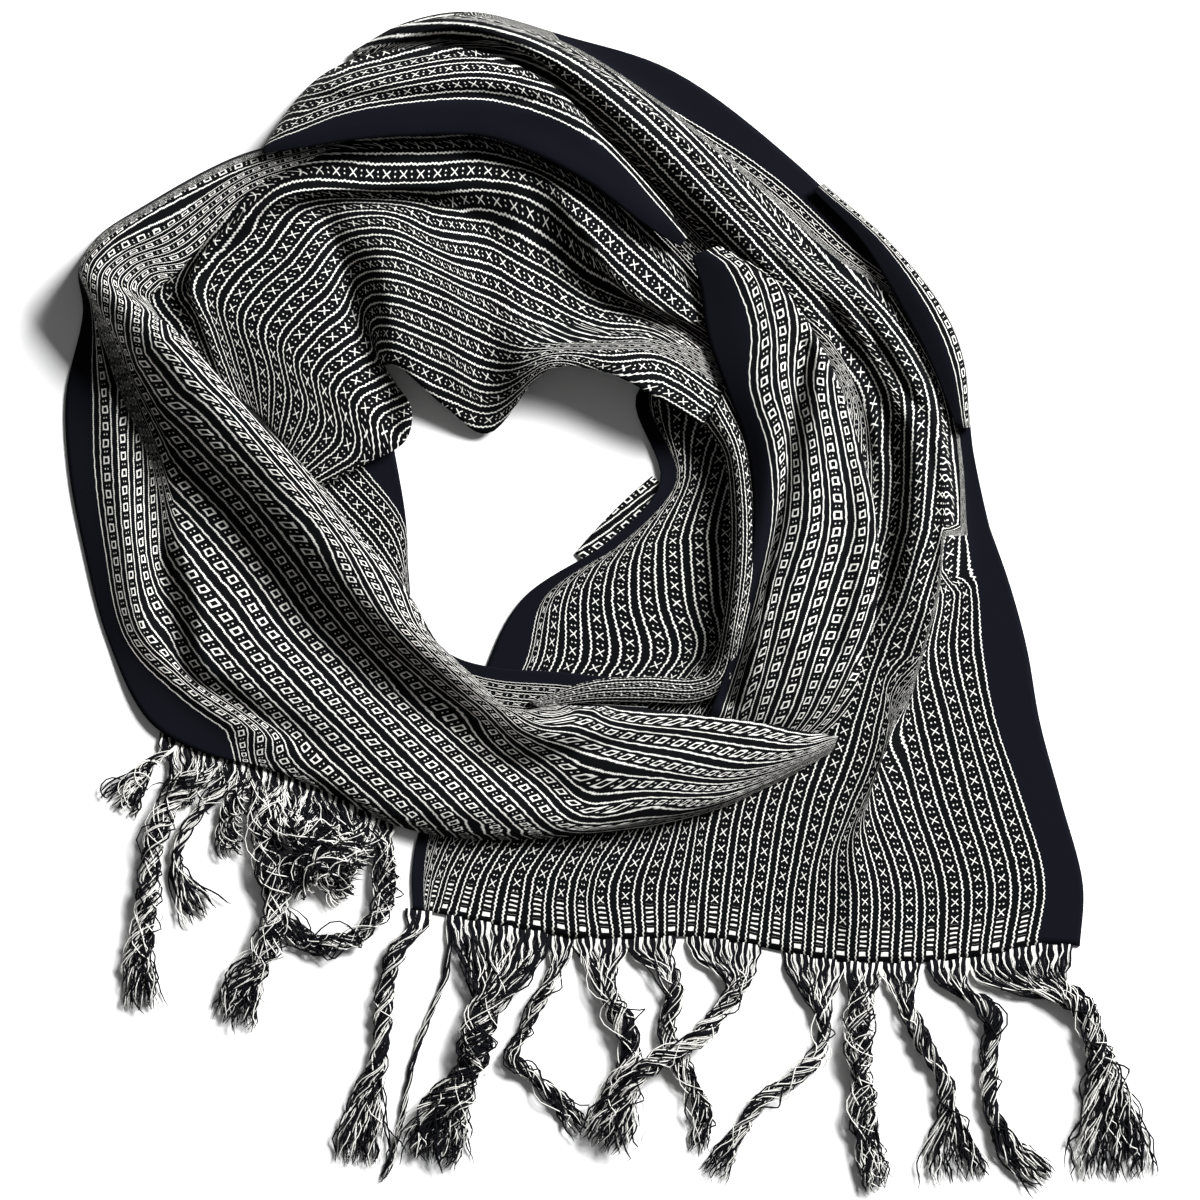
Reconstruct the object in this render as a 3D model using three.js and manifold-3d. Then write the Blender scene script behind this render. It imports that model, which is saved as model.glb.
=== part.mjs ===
// A loom-width cotton scarf lying in one loop on a table, with knotted warp fringe at both ends.
// Units are millimetres, +Z is up and the table is the plane z = 0.
// Each stretch of cloth that shows is one closed wall. Its table has a row for every section of the
// stretch, and in each row one point for every named thread: plan x, plan y and height of the underside.
import * as THREE from 'three';
import Module from 'manifold-3d';

const MM_PER_UNIT = 0.625;       // plan points are drawn 1.6 units to the millimetre, x right, y down
const PLAN_MIDDLE = [606, 600.7];
const CLOTH = 1.8;               // thickness of the woven wall
const STEEPEST = 1.6;            // most that the wall is deepened where the cloth stands steeply
const LOCK_RADIUS = 1.7;         // one lock of fringe yarn
const STRIP_WIDTH = 3.0;         // unwoven strip that a row of fringe hangs from
const STRIP_GAP = 0.3;

const NAVY = '#14151f';
const WHITE = '#d9d8d3';
const CLOTH_GREY = '#55565b';    // navy and white stripes seen from afar

const wasm = await Module();
wasm.setup();

/** Millimetres of a point drawn in plan units, with its height kept. */
function place([x, y, z]) {
  return [(x - PLAN_MIDDLE[0]) * MM_PER_UNIT, (PLAN_MIDDLE[1] - y) * MM_PER_UNIT, z];
}

/** Centripetal Catmull-Rom curve through the points, with a number of steps to every span. */
function through(points, steps) {
  const last = points.length - 1;
  const mirror = (a, b) => a.map((value, k) => 2 * value - b[k]);
  const line = [mirror(points[0], points[1]), ...points, mirror(points[last], points[last - 1])];
  const gap = (a, b) => Math.max(Math.sqrt(Math.hypot(...a.map((value, k) => value - b[k]))), 0.05);
  const mix = (a, b, ta, tb, t) => a.map((value, k) => (value * (tb - t) + b[k] * (t - ta)) / (tb - ta));
  const curve = [];
  for (let i = 0; i < last; i += 1) {
    const [a, b, c, d] = line.slice(i, i + 4);
    const t1 = gap(a, b);
    const t2 = t1 + gap(b, c);
    const t3 = t2 + gap(c, d);
    for (let n = 0; n < steps; n += 1) {
      const t = t1 + ((t2 - t1) * n) / steps;
      const ab = mix(a, b, 0, t1, t);
      const bc = mix(b, c, t1, t2, t);
      const cd = mix(c, d, t2, t3, t);
      curve.push(mix(mix(ab, bc, 0, t2, t), mix(bc, cd, t1, t3, t), t1, t2, t));
    }
  }
  curve.push(points[last]);
  return curve;
}

/** Underside of a stretch: every section is drawn through its threads, then every thread along the stretch. */
function underside(sections, stepsAcross, stepsAlong) {
  const rows = Object.values(sections).map((row) => through(row.map(place), stepsAcross));
  const lines = rows[0].map((_, j) => through(rows.map((row) => row[j]), stepsAlong));
  return lines[0].map((_, i) => lines.map((line) => line[i]));
}

/** Height of the wall above each point of the underside: its thickness over the cosine of the slope. */
function upperSide(grid) {
  const clampRow = (i) => grid[Math.min(Math.max(i, 0), grid.length - 1)];
  const clampPoint = (i, j) => clampRow(i)[Math.min(Math.max(j, 0), grid[0].length - 1)];
  return grid.map((row, i) => row.map((point, j) => {
    const along = new THREE.Vector3(...clampPoint(i + 1, j)).sub(new THREE.Vector3(...clampPoint(i - 1, j)));
    const across = new THREE.Vector3(...clampPoint(i, j + 1)).sub(new THREE.Vector3(...clampPoint(i, j - 1)));
    const normal = along.cross(across).normalize();
    const deeper = Math.min(1 / Math.max(Math.abs(normal.z), 0.1), STEEPEST);
    return [point[0], point[1], Math.max(point[2], 0) + CLOTH * deeper];
  }));
}

/** Closed wall between two grids of points of one size. */
function wall(lower, upper) {
  const rows = lower.length;
  const columns = lower[0].length;
  const points = [...lower.flat(), ...upper.flat()];
  const index = (side, i, j) => side * rows * columns + i * columns + j;
  const triangles = [];
  const quad = (a, b, c, d) => triangles.push([a, b, c], [a, c, d]);
  for (let i = 0; i < rows - 1; i += 1) {
    for (let j = 0; j < columns - 1; j += 1) {
      quad(index(0, i, j), index(0, i + 1, j), index(0, i + 1, j + 1), index(0, i, j + 1));
      quad(index(1, i, j), index(1, i, j + 1), index(1, i + 1, j + 1), index(1, i + 1, j));
    }
    quad(index(0, i + 1, 0), index(0, i, 0), index(1, i, 0), index(1, i + 1, 0));
    quad(index(0, i, columns - 1), index(0, i + 1, columns - 1), index(1, i + 1, columns - 1), index(1, i, columns - 1));
  }
  for (let j = 0; j < columns - 1; j += 1) {
    quad(index(0, 0, j), index(0, 0, j + 1), index(1, 0, j + 1), index(1, 0, j));
    quad(index(0, rows - 1, j + 1), index(0, rows - 1, j), index(1, rows - 1, j), index(1, rows - 1, j + 1));
  }
  return { points, triangles };
}

/** Six times the signed volume of a shell: positive when its faces look outward. */
function signedVolume({ points, triangles }) {
  const corner = (i) => new THREE.Vector3(...points[i]);
  return triangles.reduce((sum, [a, b, c]) => sum + corner(a).dot(corner(b).cross(corner(c))), 0);
}

/** Shell with its faces turned outward. */
function outward(shell) {
  if (signedVolume(shell) > 0) return shell;
  return { points: shell.points, triangles: shell.triangles.map(([a, b, c]) => [a, c, b]) };
}

/** Named mesh of a shell in one colour. */
function mesh(name, shell, color, roughness = 0.9) {
  const { points, triangles } = outward(shell);
  const geometry = new THREE.BufferGeometry();
  geometry.setAttribute('position', new THREE.BufferAttribute(new Float32Array(points.flat()), 3));
  geometry.setIndex(triangles.flat());
  geometry.computeVertexNormals();
  const part = new THREE.Mesh(geometry, new THREE.MeshStandardMaterial({ color, roughness, metalness: 0 }));
  part.name = name;
  return part;
}

/** One stretch of cloth as a named mesh. */
function stretch(name, sections, stepsAcross, stepsAlong, color = CLOTH_GREY) {
  const lower = underside(sections, stepsAcross, stepsAlong)
    .map((row) => row.map(([x, y, z]) => [x, y, Math.max(z, 0)]));
  return mesh(name, wall(lower, upperSide(lower)), color);
}

// Outer stretch, x face up: right-hand fringe, right side, over the top to the upper left.
// Threads from the outer selvedge: 0, 30, 60, 100, 157, 190, 225, 260, 330, 460 mm.
const OUTER_STRETCH = {
  fringe_edge: [[1080, 946, 0], [1042, 944, 0], [997, 953, 0], [936, 961, 0], [850, 962, 0],
    [800, 955, 0], [747, 944, 0], [695, 937, 0], [589, 938, 0], [413, 909, 0]],
  hem: [[1083, 885, 0], [1046, 882, 0], [1000, 884, 0], [938, 884, 0], [858, 883, 3],
    [810, 882, 2], [760, 882, 0], [707, 880, 0], [601, 880, 1], [412, 872, 0]],
  lower_panel: [[1061, 800, 0], [1025, 800, 0], [978, 800, 0], [915, 802, 1], [868, 802, 8],
    [828, 802, 2], [768, 803, 0], [706, 806, 0], [610, 812, 0], [422, 822, 0]],
  middle_panel: [[1040, 722, 0], [997, 722, 0], [950, 722, 0], [907, 724, 2], [894, 725, 10],
    [858, 726, 4], [797, 728, 0], [745, 730, 0], [650, 730, 0], [470, 738, 0]],
  upper_panel: [[1027, 648, 0], [984, 652, 0], [938, 654, 2], [931, 655, 4], [919, 656, 12],
    [880, 656, 7], [834, 655, 0], [790, 655, 0], [700, 660, 0], [487, 665, 0]],
  shoulder_low: [[1010, 585, 0], [978, 590, 0], [955, 593, 3], [949, 594, 5], [935, 595, 18],
    [905, 596, 16], [884, 596, 3], [862, 594, 1], [760, 600, 0], [523, 598, 1]],
  shoulder_mid: [[990, 528, 0], [967, 530, 1], [960, 530, 4], [956, 530, 6], [941, 530, 21],
    [912, 530, 20], [892, 530, 3], [872, 530, 5], [775, 530, 0], [598, 549, 2.6]],
  shoulder: [[974, 455, 0], [962, 453, 0], [958, 453, 1], [952, 452, 3], [938, 450, 19],
    [914, 450, 20], [896, 452, 4], [873, 452, 12], [800, 455, 0], [660, 483, 2.6]],
  shoulder_high: [[962, 372, 0], [953, 374, 0], [944, 376, 0], [932, 378, 2], [914, 382, 17],
    [895, 386, 18], [876, 390, 4], [857, 390, 14], [820, 391, 1], [636, 396, 0]],
  turn: [[918, 287, 0], [903, 292, 1], [890, 296, 1], [878, 300, 4], [862, 306, 16],
    [845, 312, 15], [834, 317, 8], [819, 321, 16], [790, 326, 2], [692, 342, 0]],
  top_right: [[878, 245, 0], [860, 250, 1], [838, 255, 1], [818, 259, 3], [803, 263, 12],
    [797, 266, 14], [791, 270, 17], [780, 276, 17], [756, 288, 2], [684, 306, 0]],
  top_turn: [[796, 163, 0], [770, 178, 1], [757, 187, 1], [749, 193, 4], [743, 198, 14],
    [737, 202, 20], [723, 210, 25], [705, 220, 16], [692, 228, 2], [662, 262, 0]],
  top: [[673, 71, 0], [652, 96, 1], [650, 99, 3], [648, 102, 7], [645, 106, 14],
    [641, 110, 21], [628, 120, 26], [616, 129, 16], [608, 135, 2], [594, 148, 0]],
  top_left: [[566, 36, 0], [561, 41, 3], [559, 43, 6], [557, 45, 10], [554, 48, 15],
    [551, 51, 20], [543, 56, 23], [537, 60, 14], [533, 64, 2], [524, 76, 0]],
  crown: [[472, 12, 2], [471, 15, 6], [470, 17, 9], [469, 19, 12], [468, 21, 15],
    [467, 23, 18], [464, 28, 20], [461, 34, 12], [459, 40, 1.5], [455, 60, 0]],
  crown_left: [[405, 23, 2], [405, 25, 4], [405, 27, 6], [405, 29, 8], [406, 31, 9],
    [406, 33, 10], [407, 36, 10], [408, 40, 7], [409, 44, 1.5], [410, 60, 0]],
  crown_end: [[352, 52, 2], [353, 53, 3], [353, 54, 4], [354, 55, 5], [354, 56, 5],
    [355, 57, 5], [356, 58, 3], [357, 60, 1], [358, 62, 0.5], [362, 70, 0]],
};

// Upper band, x face up: inner selvedge and stripes from the left bend over the top to the right.
// Threads from the inner selvedge: 460, 438, 410, 385, 350 mm.
const UPPER_BAND = {
  left_end: [[263, 156, 24], [265, 151, 25], [267, 147, 24], [268, 144, 18], [269, 141, 8]],
  left: [[305, 150, 25], [299, 135, 29], [294, 125, 28], [290, 117, 20], [287, 112, 6]],
  upper_left: [[350, 143, 25], [341, 119, 31], [334, 98, 30], [329, 83, 22], [325, 74, 7]],
  crown: [[400, 139, 25], [396, 108, 32], [389, 82, 30], [384, 64, 20], [380, 53, 8]],
  top: [[482, 139, 24], [480, 104, 32], [478, 76, 30], [476, 58, 20], [475, 51, 9]],
  top_right: [[537, 158, 24], [545, 114, 32], [548, 98, 30], [549, 90, 22], [550, 85, 12]],
  right: [[588, 185, 23], [602, 151, 29], [604, 146, 26], [605, 143, 22], [606, 141, 16]],
  tip: [[646, 228, 22], [659, 211, 26], [661, 208, 24], [662, 206, 21], [663, 204, 17]],
  end: [[680, 248, 22], [685, 242, 23], [686, 240, 22], [687, 239, 20], [688, 238, 18]],
};

// Turned border, square face up: outer selvedge folded over on the right shoulder.
// Threads: free edge 0, stripes 22, fold 34, rolled 38 mm.
const TURNED_BORDER = {
  start: [[812, 190, 6], [818, 187, 7], [822, 185, 6], [824, 184, 5]],
  upper: [[861, 242, 7], [882, 244, 9], [888, 243, 7], [890, 242, 4]],
  middle: [[906, 318, 8], [930, 314, 12], [941, 310, 9], [943, 308, 4]],
  lower: [[932, 368, 9], [951, 364, 12], [962, 362, 9], [964, 361, 4]],
  end: [[956, 428, 7], [963, 428, 8], [968, 428, 6], [970, 428, 4]],
};

// Interior, x face up: wavy stretch inside the loop at the upper left.
// Threads: 30 (hidden under the band and the bend), 50, 90, 100, 114, 140, 171, 208 mm.
const INTERIOR = {
  under_front: [[200, 372, 1], [216, 382, 2], [232, 396, 4], [242, 402, 4],
    [252, 410, 4], [266, 424, 5], [285, 447, 6], [318, 488, 5]],
  lower_left: [[168, 334, 1], [192, 322, 2], [205, 326, 8], [218, 336, 7],
    [232, 350, 7], [266, 372, 11], [302, 405, 13], [368, 463, 8]],
  left: [[146, 298, 2], [184, 288, 4], [192, 287, 14], [206, 294, 9],
    [230, 312, 10], [274, 340, 14], [318, 376, 17], [406, 441, 10]],
  left_upper: [[166, 256, 3], [198, 254, 6], [204, 258, 18], [213, 265, 10],
    [246, 285, 10], [298, 315, 15], [337, 348, 17], [412, 410, 14]],
  upper_left: [[206, 211, 6], [227, 221, 9], [231, 230, 20], [242, 240, 10],
    [280, 258, 10], [322, 285, 13], [354, 323, 12], [398, 386, 18]],
  valley: [[271, 168, 6], [281, 182, 9], [287, 196, 20], [298, 205, 8],
    [324, 223, 9], [347, 257, 9], [366, 308, 8], [382, 369, 16]],
  crest: [[383, 134, 12], [385, 152, 13], [385, 188, 20], [384, 197, 8],
    [386, 216, 14], [388, 256, 24], [391, 305, 28], [395, 366, 24]],
  slope: [[431, 132, 13], [432, 150, 14], [434, 187, 20], [434, 200, 6],
    [432, 237, 14], [436, 285, 20], [441, 345, 20], [446, 408, 12]],
  trough: [[478, 130, 12], [480, 147, 12], [485, 183, 18], [488, 226, 4],
    [487, 290, 12], [487, 335, 16], [487, 389, 12], [487, 434, 4]],
  rise: [[532, 148, 12], [532, 165, 12], [538, 180, 16], [545, 255, 3],
    [545, 322, 14], [547, 344, 26], [547, 357, 26], [549, 371, 20]],
  arch: [[591, 175, 14], [585, 192, 16], [578, 222, 22], [592, 284, 3],
    [600, 324, 14], [604, 342, 28], [605, 352, 28], [606, 374, 22]],
  right: [[657, 236, 14], [640, 246, 17], [628, 290, 22], [640, 306, 4],
    [652, 326, 12], [657, 341, 24], [660, 356, 24], [662, 402, 20]],
  right_end: [[716, 300, 14], [712, 315, 15], [710, 330, 17], [711, 334, 12],
    [713, 341, 14], [716, 354, 16], [722, 388, 16], [702, 426, 14]],
};

// Inner lip, x face up: the interior's hem rolled narrow beside and below the hole. Threads 171, 190, 208 mm.
const INNER_LIP = {
  start: [[724.2, 389.2, 14], [714.8, 408.6, 17], [704.2, 427.2, 14]],
  upper: [[748, 440, 12], [734, 447, 18], [722, 454, 12]],
  middle: [[757, 500, 12], [742, 500, 18], [728, 500, 10]],
  lower: [[757, 565, 12], [742, 565, 18], [728, 564, 10]],
  bottom: [[744, 630, 11], [733, 630, 16], [721, 629, 9]],
  corner: [[730, 684, 8], [720, 679, 12], [708, 672, 8]],
  turn: [[698, 702, 5], [696, 690, 9], [692, 678, 6]],
  hem: [[644, 702, 5], [645, 688, 9], [646, 676, 6]],
  hem_end: [[590, 702, 5], [590, 691, 8], [590, 681, 6]],
  pinch: [[535, 708, 5], [532, 705, 6], [528, 702, 5]],
};

// Front stretch, square face up: pocket, left bend, ridge, lower left, and across the front to the right.
// Threads from the outer selvedge: 0, 22, 45, 63, 80, 105, 125, 140, 165, 190, 205 mm.
const FRONT_STRETCH = {
  start: [[318, 134, 2], [319, 135, 3], [319, 136, 5], [320, 137, 6], [320, 138, 8],
    [321, 139, 10], [321, 140, 12], [322, 141, 13], [324, 145, 14], [326, 150, 14], [327, 153, 13]],
  rim: [[233, 158, 2], [234, 159, 4], [234, 160, 7], [235, 161, 10], [235, 162, 13],
    [236, 163, 16], [237, 164, 19], [238, 166, 22], [242, 174, 22], [248, 185, 17], [252, 192, 14]],
  pocket: [[144, 206, 2], [145, 207, 5], [145, 208, 9], [146, 209, 13], [146, 210, 18],
    [147, 211, 23], [148, 213, 28], [150, 216, 32], [161, 231, 30], [176, 253, 20], [186, 266, 15]],
  elbow: [[98, 237, 2], [98.5, 237.5, 5], [99, 238, 9], [99.5, 238.5, 13], [100, 239, 19],
    [101, 240, 25], [103, 242, 31], [106, 245, 36], [121, 257, 34], [147, 274, 25], [165, 285, 17]],
  bend: [[79, 268, 2], [79.5, 268, 5], [80, 268, 9], [80.5, 268.5, 14], [81, 269, 20],
    [82, 269.5, 26], [84, 270, 32], [88, 271, 37], [106, 276, 38], [134, 290, 29], [152, 301, 17]],
  below_bend: [[83, 312, 0], [92, 310, 2], [94, 309, 5], [95, 308.5, 9], [96, 308, 14],
    [97, 307, 20], [99, 306, 28], [103, 303, 36], [120, 300, 42], [146, 308, 32], [161, 318, 14]],
  upper_left: [[66, 395, 0], [93, 392, 2], [106, 388, 5], [116, 383, 2], [124, 378, 3],
    [131, 373, 6], [138, 367, 14], [146, 359, 30], [164, 344, 42], [185, 340, 34], [194, 348, 14]],
  left: [[69, 470, 0], [96, 467, 3], [122, 463, 9], [152, 470, 2], [163, 462, 3],
    [173, 452, 5], [183, 442, 11], [197, 428, 30], [222, 411, 42], [248, 410, 32], [256, 418, 14]],
  left_lower: [[84, 550, 0], [105, 547, 4], [130, 545, 11], [160, 557, 2], [184, 545, 7],
    [206, 529, 8], [229, 511, 8], [250, 491, 26], [280, 473, 41], [306, 470, 31], [314, 478, 14]],
  knee: [[108, 640, 0], [125, 636, 4], [144, 626, 10], [166, 628, 3], [204, 618, 14],
    [236, 598, 12], [269, 574, 6], [294, 551, 24], [323, 531, 38], [353, 529, 29], [361, 537, 13]],
  low_left: [[150, 722, 3], [168, 692, 4], [178, 678, 8], [190, 672, 4], [214, 660, 14],
    [262, 639, 12], [310, 620, 6], [339, 601, 22], [368, 586, 36], [400, 583, 27], [408, 591, 13]],
  lower: [[204, 753, 3], [222, 733, 4], [238, 722, 8], [253, 714, 5], [276, 701, 12],
    [316, 684, 12], [353, 664, 6], [380, 645, 20], [407, 628, 33], [431, 634, 25], [438, 642, 12]],
  hem: [[266, 768, 3], [270, 763, 5], [290, 752, 8], [310, 743, 7], [336, 730, 11],
    [371, 712, 11], [406, 697, 6], [430, 684, 18], [453, 671, 30], [476, 678, 23], [482, 686, 11]],
  hem_turn: [[325, 791, 3], [328, 788, 5], [336, 783, 9], [353, 774, 11], [377, 763, 12],
    [413, 744, 11], [449, 727, 6.5], [471, 715, 15], [490, 703, 26], [510, 708, 20], [515, 716, 11]],
  pinch: [[398, 826, 3], [400, 824, 5], [402, 821, 8], [406, 817, 11], [427, 802, 13],
    [463, 777, 12], [495, 754, 7], [512, 740, 14], [530, 722, 23], [548, 708, 18], [552, 704, 10]],
  front: [[470, 839, 3], [471, 837, 5], [473, 835, 7], [475, 832, 10], [484, 824, 13],
    [512, 806, 13], [539, 784, 8], [553, 767, 13], [567, 736, 21], [577, 713, 17], [580, 706, 10]],
  front_right: [[558, 837, 3], [558.5, 836, 4], [559, 835, 6], [560, 834, 8], [562, 832, 10],
    [566, 828, 12], [580, 815, 12], [590, 801, 13], [606, 757, 22], [618, 717, 19], [621, 706, 10]],
  right_low: [[640, 828, 3], [640.3, 827, 4], [640.6, 826, 5], [641, 825, 7], [642, 824, 9],
    [643, 822, 11], [646, 817, 13], [652, 806, 15], [668, 768, 22], [687, 728, 20], [691, 714, 11]],
  right: [[718, 809, 3], [718.3, 808, 4], [718.6, 807, 5], [719, 806, 6], [720, 804.5, 8],
    [721, 802, 10], [724, 798, 12], [729, 789, 14], [741, 768, 19], [755, 737, 18], [758, 722, 11]],
  right_tip: [[788, 777, 3], [788.3, 776, 4], [788.6, 775, 5], [789, 774, 6], [789.5, 773, 7],
    [790, 772, 8], [792, 769, 9], [795, 765, 11], [801, 755, 14], [808, 741, 14], [810, 732, 10]],
  tip: [[832, 752, 5], [832.3, 751, 5], [832.6, 750, 6], [833, 749, 6], [833.4, 748, 6],
    [834, 747, 7], [834.5, 746, 7], [835, 744, 8], [836, 741, 9], [837, 738, 9], [838, 736, 8]],
};

// Right inner band, square face up, beside the hole. Threads: 0, 22, 45, 50, 80, 104, 118 mm.
const RIGHT_INNER = {
  tip: [[692, 258, 21], [700, 254, 23], [704, 252, 23], [707, 251, 23], [712, 249, 23], [716, 248, 22], [719, 247, 20]],
  upper: [[700, 290, 22], [733, 277, 28], [751, 274, 28], [757, 274, 27], [766, 277, 27], [772, 280, 25], [776, 282, 21]],
  high: [[707, 338, 23], [745, 328, 29], [769, 325, 29], [776, 325, 28], [796, 327, 27], [809, 331, 25], [814, 334, 20]],
  upper_middle: [[727, 393, 23], [756, 389, 30], [781, 386, 30], [788, 386, 27], [814, 386, 28], [835, 389, 26], [841, 392, 19]],
  middle: [[747, 450, 22], [770, 448, 30], [784, 447, 30], [788, 447, 26], [826, 449, 28], [854, 451, 25], [861, 454, 18]],
  waist: [[753, 520, 22], [771, 520, 29], [778, 520, 27], [782, 520, 28], [830, 520, 27], [868, 522, 22], [876, 525, 14]],
  lower_middle: [[746, 590, 22], [759, 590, 28], [766, 590, 27], [770, 590, 28], [822, 592, 25], [870, 596, 20], [877, 599, 13]],
  low: [[733, 648, 19], [749, 650, 25], [758, 651, 25], [763, 652, 25], [812, 656, 21], [854, 661, 18], [861, 665, 13]],
  hem: [[712, 706, 8], [735, 708, 11], [750, 709, 12], [756, 710, 12], [798, 712, 11], [838, 712, 9], [846, 714, 8]],
  under_front: [[704, 724, 3], [730, 729, 3.2], [746, 732, 3.4], [752, 733, 3.4], [785, 737, 3.4], [812, 739, 3.4], [818, 741, 3.4]],
};

// Under layer, x face up: shows at the left and at the bottom of the hole. Threads: 0, 22, 60, 110 mm.
const UNDER_LAYER = {
  start: [[392, 436, 0], [358, 460, 0], [318, 492, 0], [274, 534, 0]],
  edge: [[406, 519, 0], [404, 523, 0], [372, 552, 0], [325, 592, 0]],
  fold: [[409, 575, 0], [408, 579, 0], [405, 596, 0], [362, 632, 0]],
  below: [[417, 625, 0], [416, 629, 0], [414, 640, 0], [398, 668, 0]],
  corner: [[452, 655, 1.0], [449, 664, 1.0], [442, 682, 1.0], [430, 705, 1.0]],
  band_left: [[492, 667, 2.4], [490, 679, 2.4], [486, 700, 2.4], [480, 724, 2.4]],
  band: [[560, 672, 2.4], [561, 685, 2.4], [560, 708, 2.4], [556, 734, 2.4]],
  band_right: [[650, 681, 2.2], [649, 694, 2.2], [647, 712, 2.2], [643, 730, 2.2]],
};

// Lower strip, square face up: its folded edge shows below the inner selvedge right of the hole.
// Threads: 330 at the folded edge, 347 mm.
const LOWER_STRIP = {
  start: [[652, 476, 0], [670, 494, 0]],
  upper: [[628, 497, 0], [645, 514, 0]],
  lower: [[600, 523, 0], [615, 539, 0]],
  end: [[572, 551, 0], [585, 565, 0]],
};

// End panel b lies flat below the front, square face up. Threads 0 and 460 mm.
const END_PANEL_B = {
  fringe_edge: [[166, 733, 0], [228, 755, 0], [290, 776, 0], [350, 800, 0], [408, 829, 0]],
  lower: [[178, 705, 0], [238, 722, 0], [295, 742, 0], [350, 765, 0], [404, 795, 0]],
  hidden_edge: [[196, 655, 0], [250, 668, 0], [300, 690, 0], [345, 712, 0], [390, 745, 0]],
};

/** Three-sided lock of yarn along a line of points, tapering to its tip. */
function lock(points, radius) {
  const line = points.map((point) => new THREE.Vector3(...point));
  const last = line.length - 1;
  const corners = [];
  line.forEach((point, i) => {
    const way = line[Math.min(i + 1, last)].clone().sub(line[Math.max(i - 1, 0)]).normalize();
    const side = new THREE.Vector3(-way.y, way.x, 0).normalize();
    const up = way.clone().cross(side).normalize();
    const girth = radius * (i === last ? 0.45 : 1);
    for (let k = 0; k < 3; k += 1) {
      const angle = Math.PI / 2 + (k * 2 * Math.PI) / 3;
      const corner = point.clone().addScaledVector(side, girth * Math.cos(angle));
      corner.addScaledVector(up, Math.sign(up.z || 1) * girth * Math.sin(angle));
      corners.push(corner.toArray());
    }
  });
  const triangles = [[0, 2, 1], [3 * last, 3 * last + 1, 3 * last + 2]];
  for (let i = 0; i < last; i += 1) {
    for (let k = 0; k < 3; k += 1) {
      const a = 3 * i + k;
      const b = 3 * i + ((k + 1) % 3);
      triangles.push([a, b, b + 3], [a, b + 3, a + 3]);
    }
  }
  return { points: corners, triangles };
}

/** Manifold body of a shell. */
function body(shell) {
  const { points, triangles } = outward(shell);
  const data = { numProp: 3, vertProperties: new Float32Array(points.flat()), triVerts: new Uint32Array(triangles.flat()) };
  return new wasm.Manifold(new wasm.Mesh(data));
}

/** Shell of a manifold body. */
function shellOf(solid) {
  const { vertProperties, triVerts } = solid.getMesh();
  const group = (list) => Array.from({ length: list.length / 3 }, (_, i) => [...list.slice(3 * i, 3 * i + 3)]);
  return { points: group(vertProperties), triangles: group(triVerts) };
}

/** Middle line of the unwoven strip below a fringe edge, and the way out of the cloth at each point. */
function stripLine(edge) {
  const line = through(edge.map(place), 2);
  return line.map(([x, y], i) => {
    const before = line[Math.max(i - 1, 0)];
    const after = line[Math.min(i + 1, line.length - 1)];
    const length = Math.hypot(after[0] - before[0], after[1] - before[1]);
    const sign = after[0] > before[0] ? 1 : -1;
    return { x, y, out: [(sign * (after[1] - before[1])) / length, (-sign * (after[0] - before[0])) / length] };
  });
}

/** Strip of unwoven warp below a fringe edge, parted from the cloth by a small gap. */
function strip(edge) {
  const at = ({ x, y, out }, distance, z) => [x + out[0] * distance, y + out[1] * distance, z];
  const both = (z) => stripLine(edge).map((p) => [at(p, STRIP_GAP, z), at(p, STRIP_GAP + STRIP_WIDTH, z)]);
  return wall(both(0), both(CLOTH));
}

/** Point in the middle of the strip at one plan x. */
function rootOn(edge, x) {
  const line = stripLine(edge).sort((a, b) => a.x - b.x);
  const after = Math.min(Math.max(line.findIndex((p) => p.x > x), 1), line.length - 1);
  const [a, b] = [line[after - 1], line[after]];
  const share = Math.min(Math.max((x - a.x) / (b.x - a.x), 0.05), 0.95);
  const distance = STRIP_GAP + STRIP_WIDTH * 0.6;
  return [a.x + (b.x - a.x) * share + a.out[0] * distance, a.y + (b.y - a.y) * share + a.out[1] * distance, CLOTH / 2];
}

/** Locks of one tassel: gathered from their roots, side by side in the neck, fanned out at the tip. */
function tasselLocks({ path, count, root, neck, tip }, edge) {
  const line = path.map(place);
  const last = line.length - 1;
  return Array.from({ length: count }, (_, k) => {
    const share = k / (count - 1) - 0.5;
    const lockLine = line.map(([x, y, lift], i) => {
      const before = line[Math.max(i - 1, 0)];
      const after = line[Math.min(i + 1, last)];
      const length = Math.hypot(after[0] - before[0], after[1] - before[1]);
      const s = i / last;
      const gathered = neck + (root - neck) * Math.max(1 - s / 0.3, 0);
      const offset = share * (gathered + (tip - neck) * Math.max(s - 0.5, 0) * 2);
      const height = LOCK_RADIUS * 0.62 + 1.2 * Math.sin(Math.PI * s) + lift;
      return [x - ((after[1] - before[1]) / length) * offset, y + ((after[0] - before[0]) / length) * offset, height];
    });
    return [rootOn(edge, line[0][0] + share * root), ...lockLine.slice(1)];
  });
}

/** One fringe: its strip and every lock of its tassels, joined to one body. */
function fringe(name, edge, tassels) {
  const locks = tassels.flatMap((tassel) => tasselLocks(tassel, edge)).map((line) => body(lock(line, LOCK_RADIUS)));
  const whole = locks.reduce((sum, one) => sum.add(one), body(strip(edge)));
  return mesh(name, shellOf(whole), WHITE);
}

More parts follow.
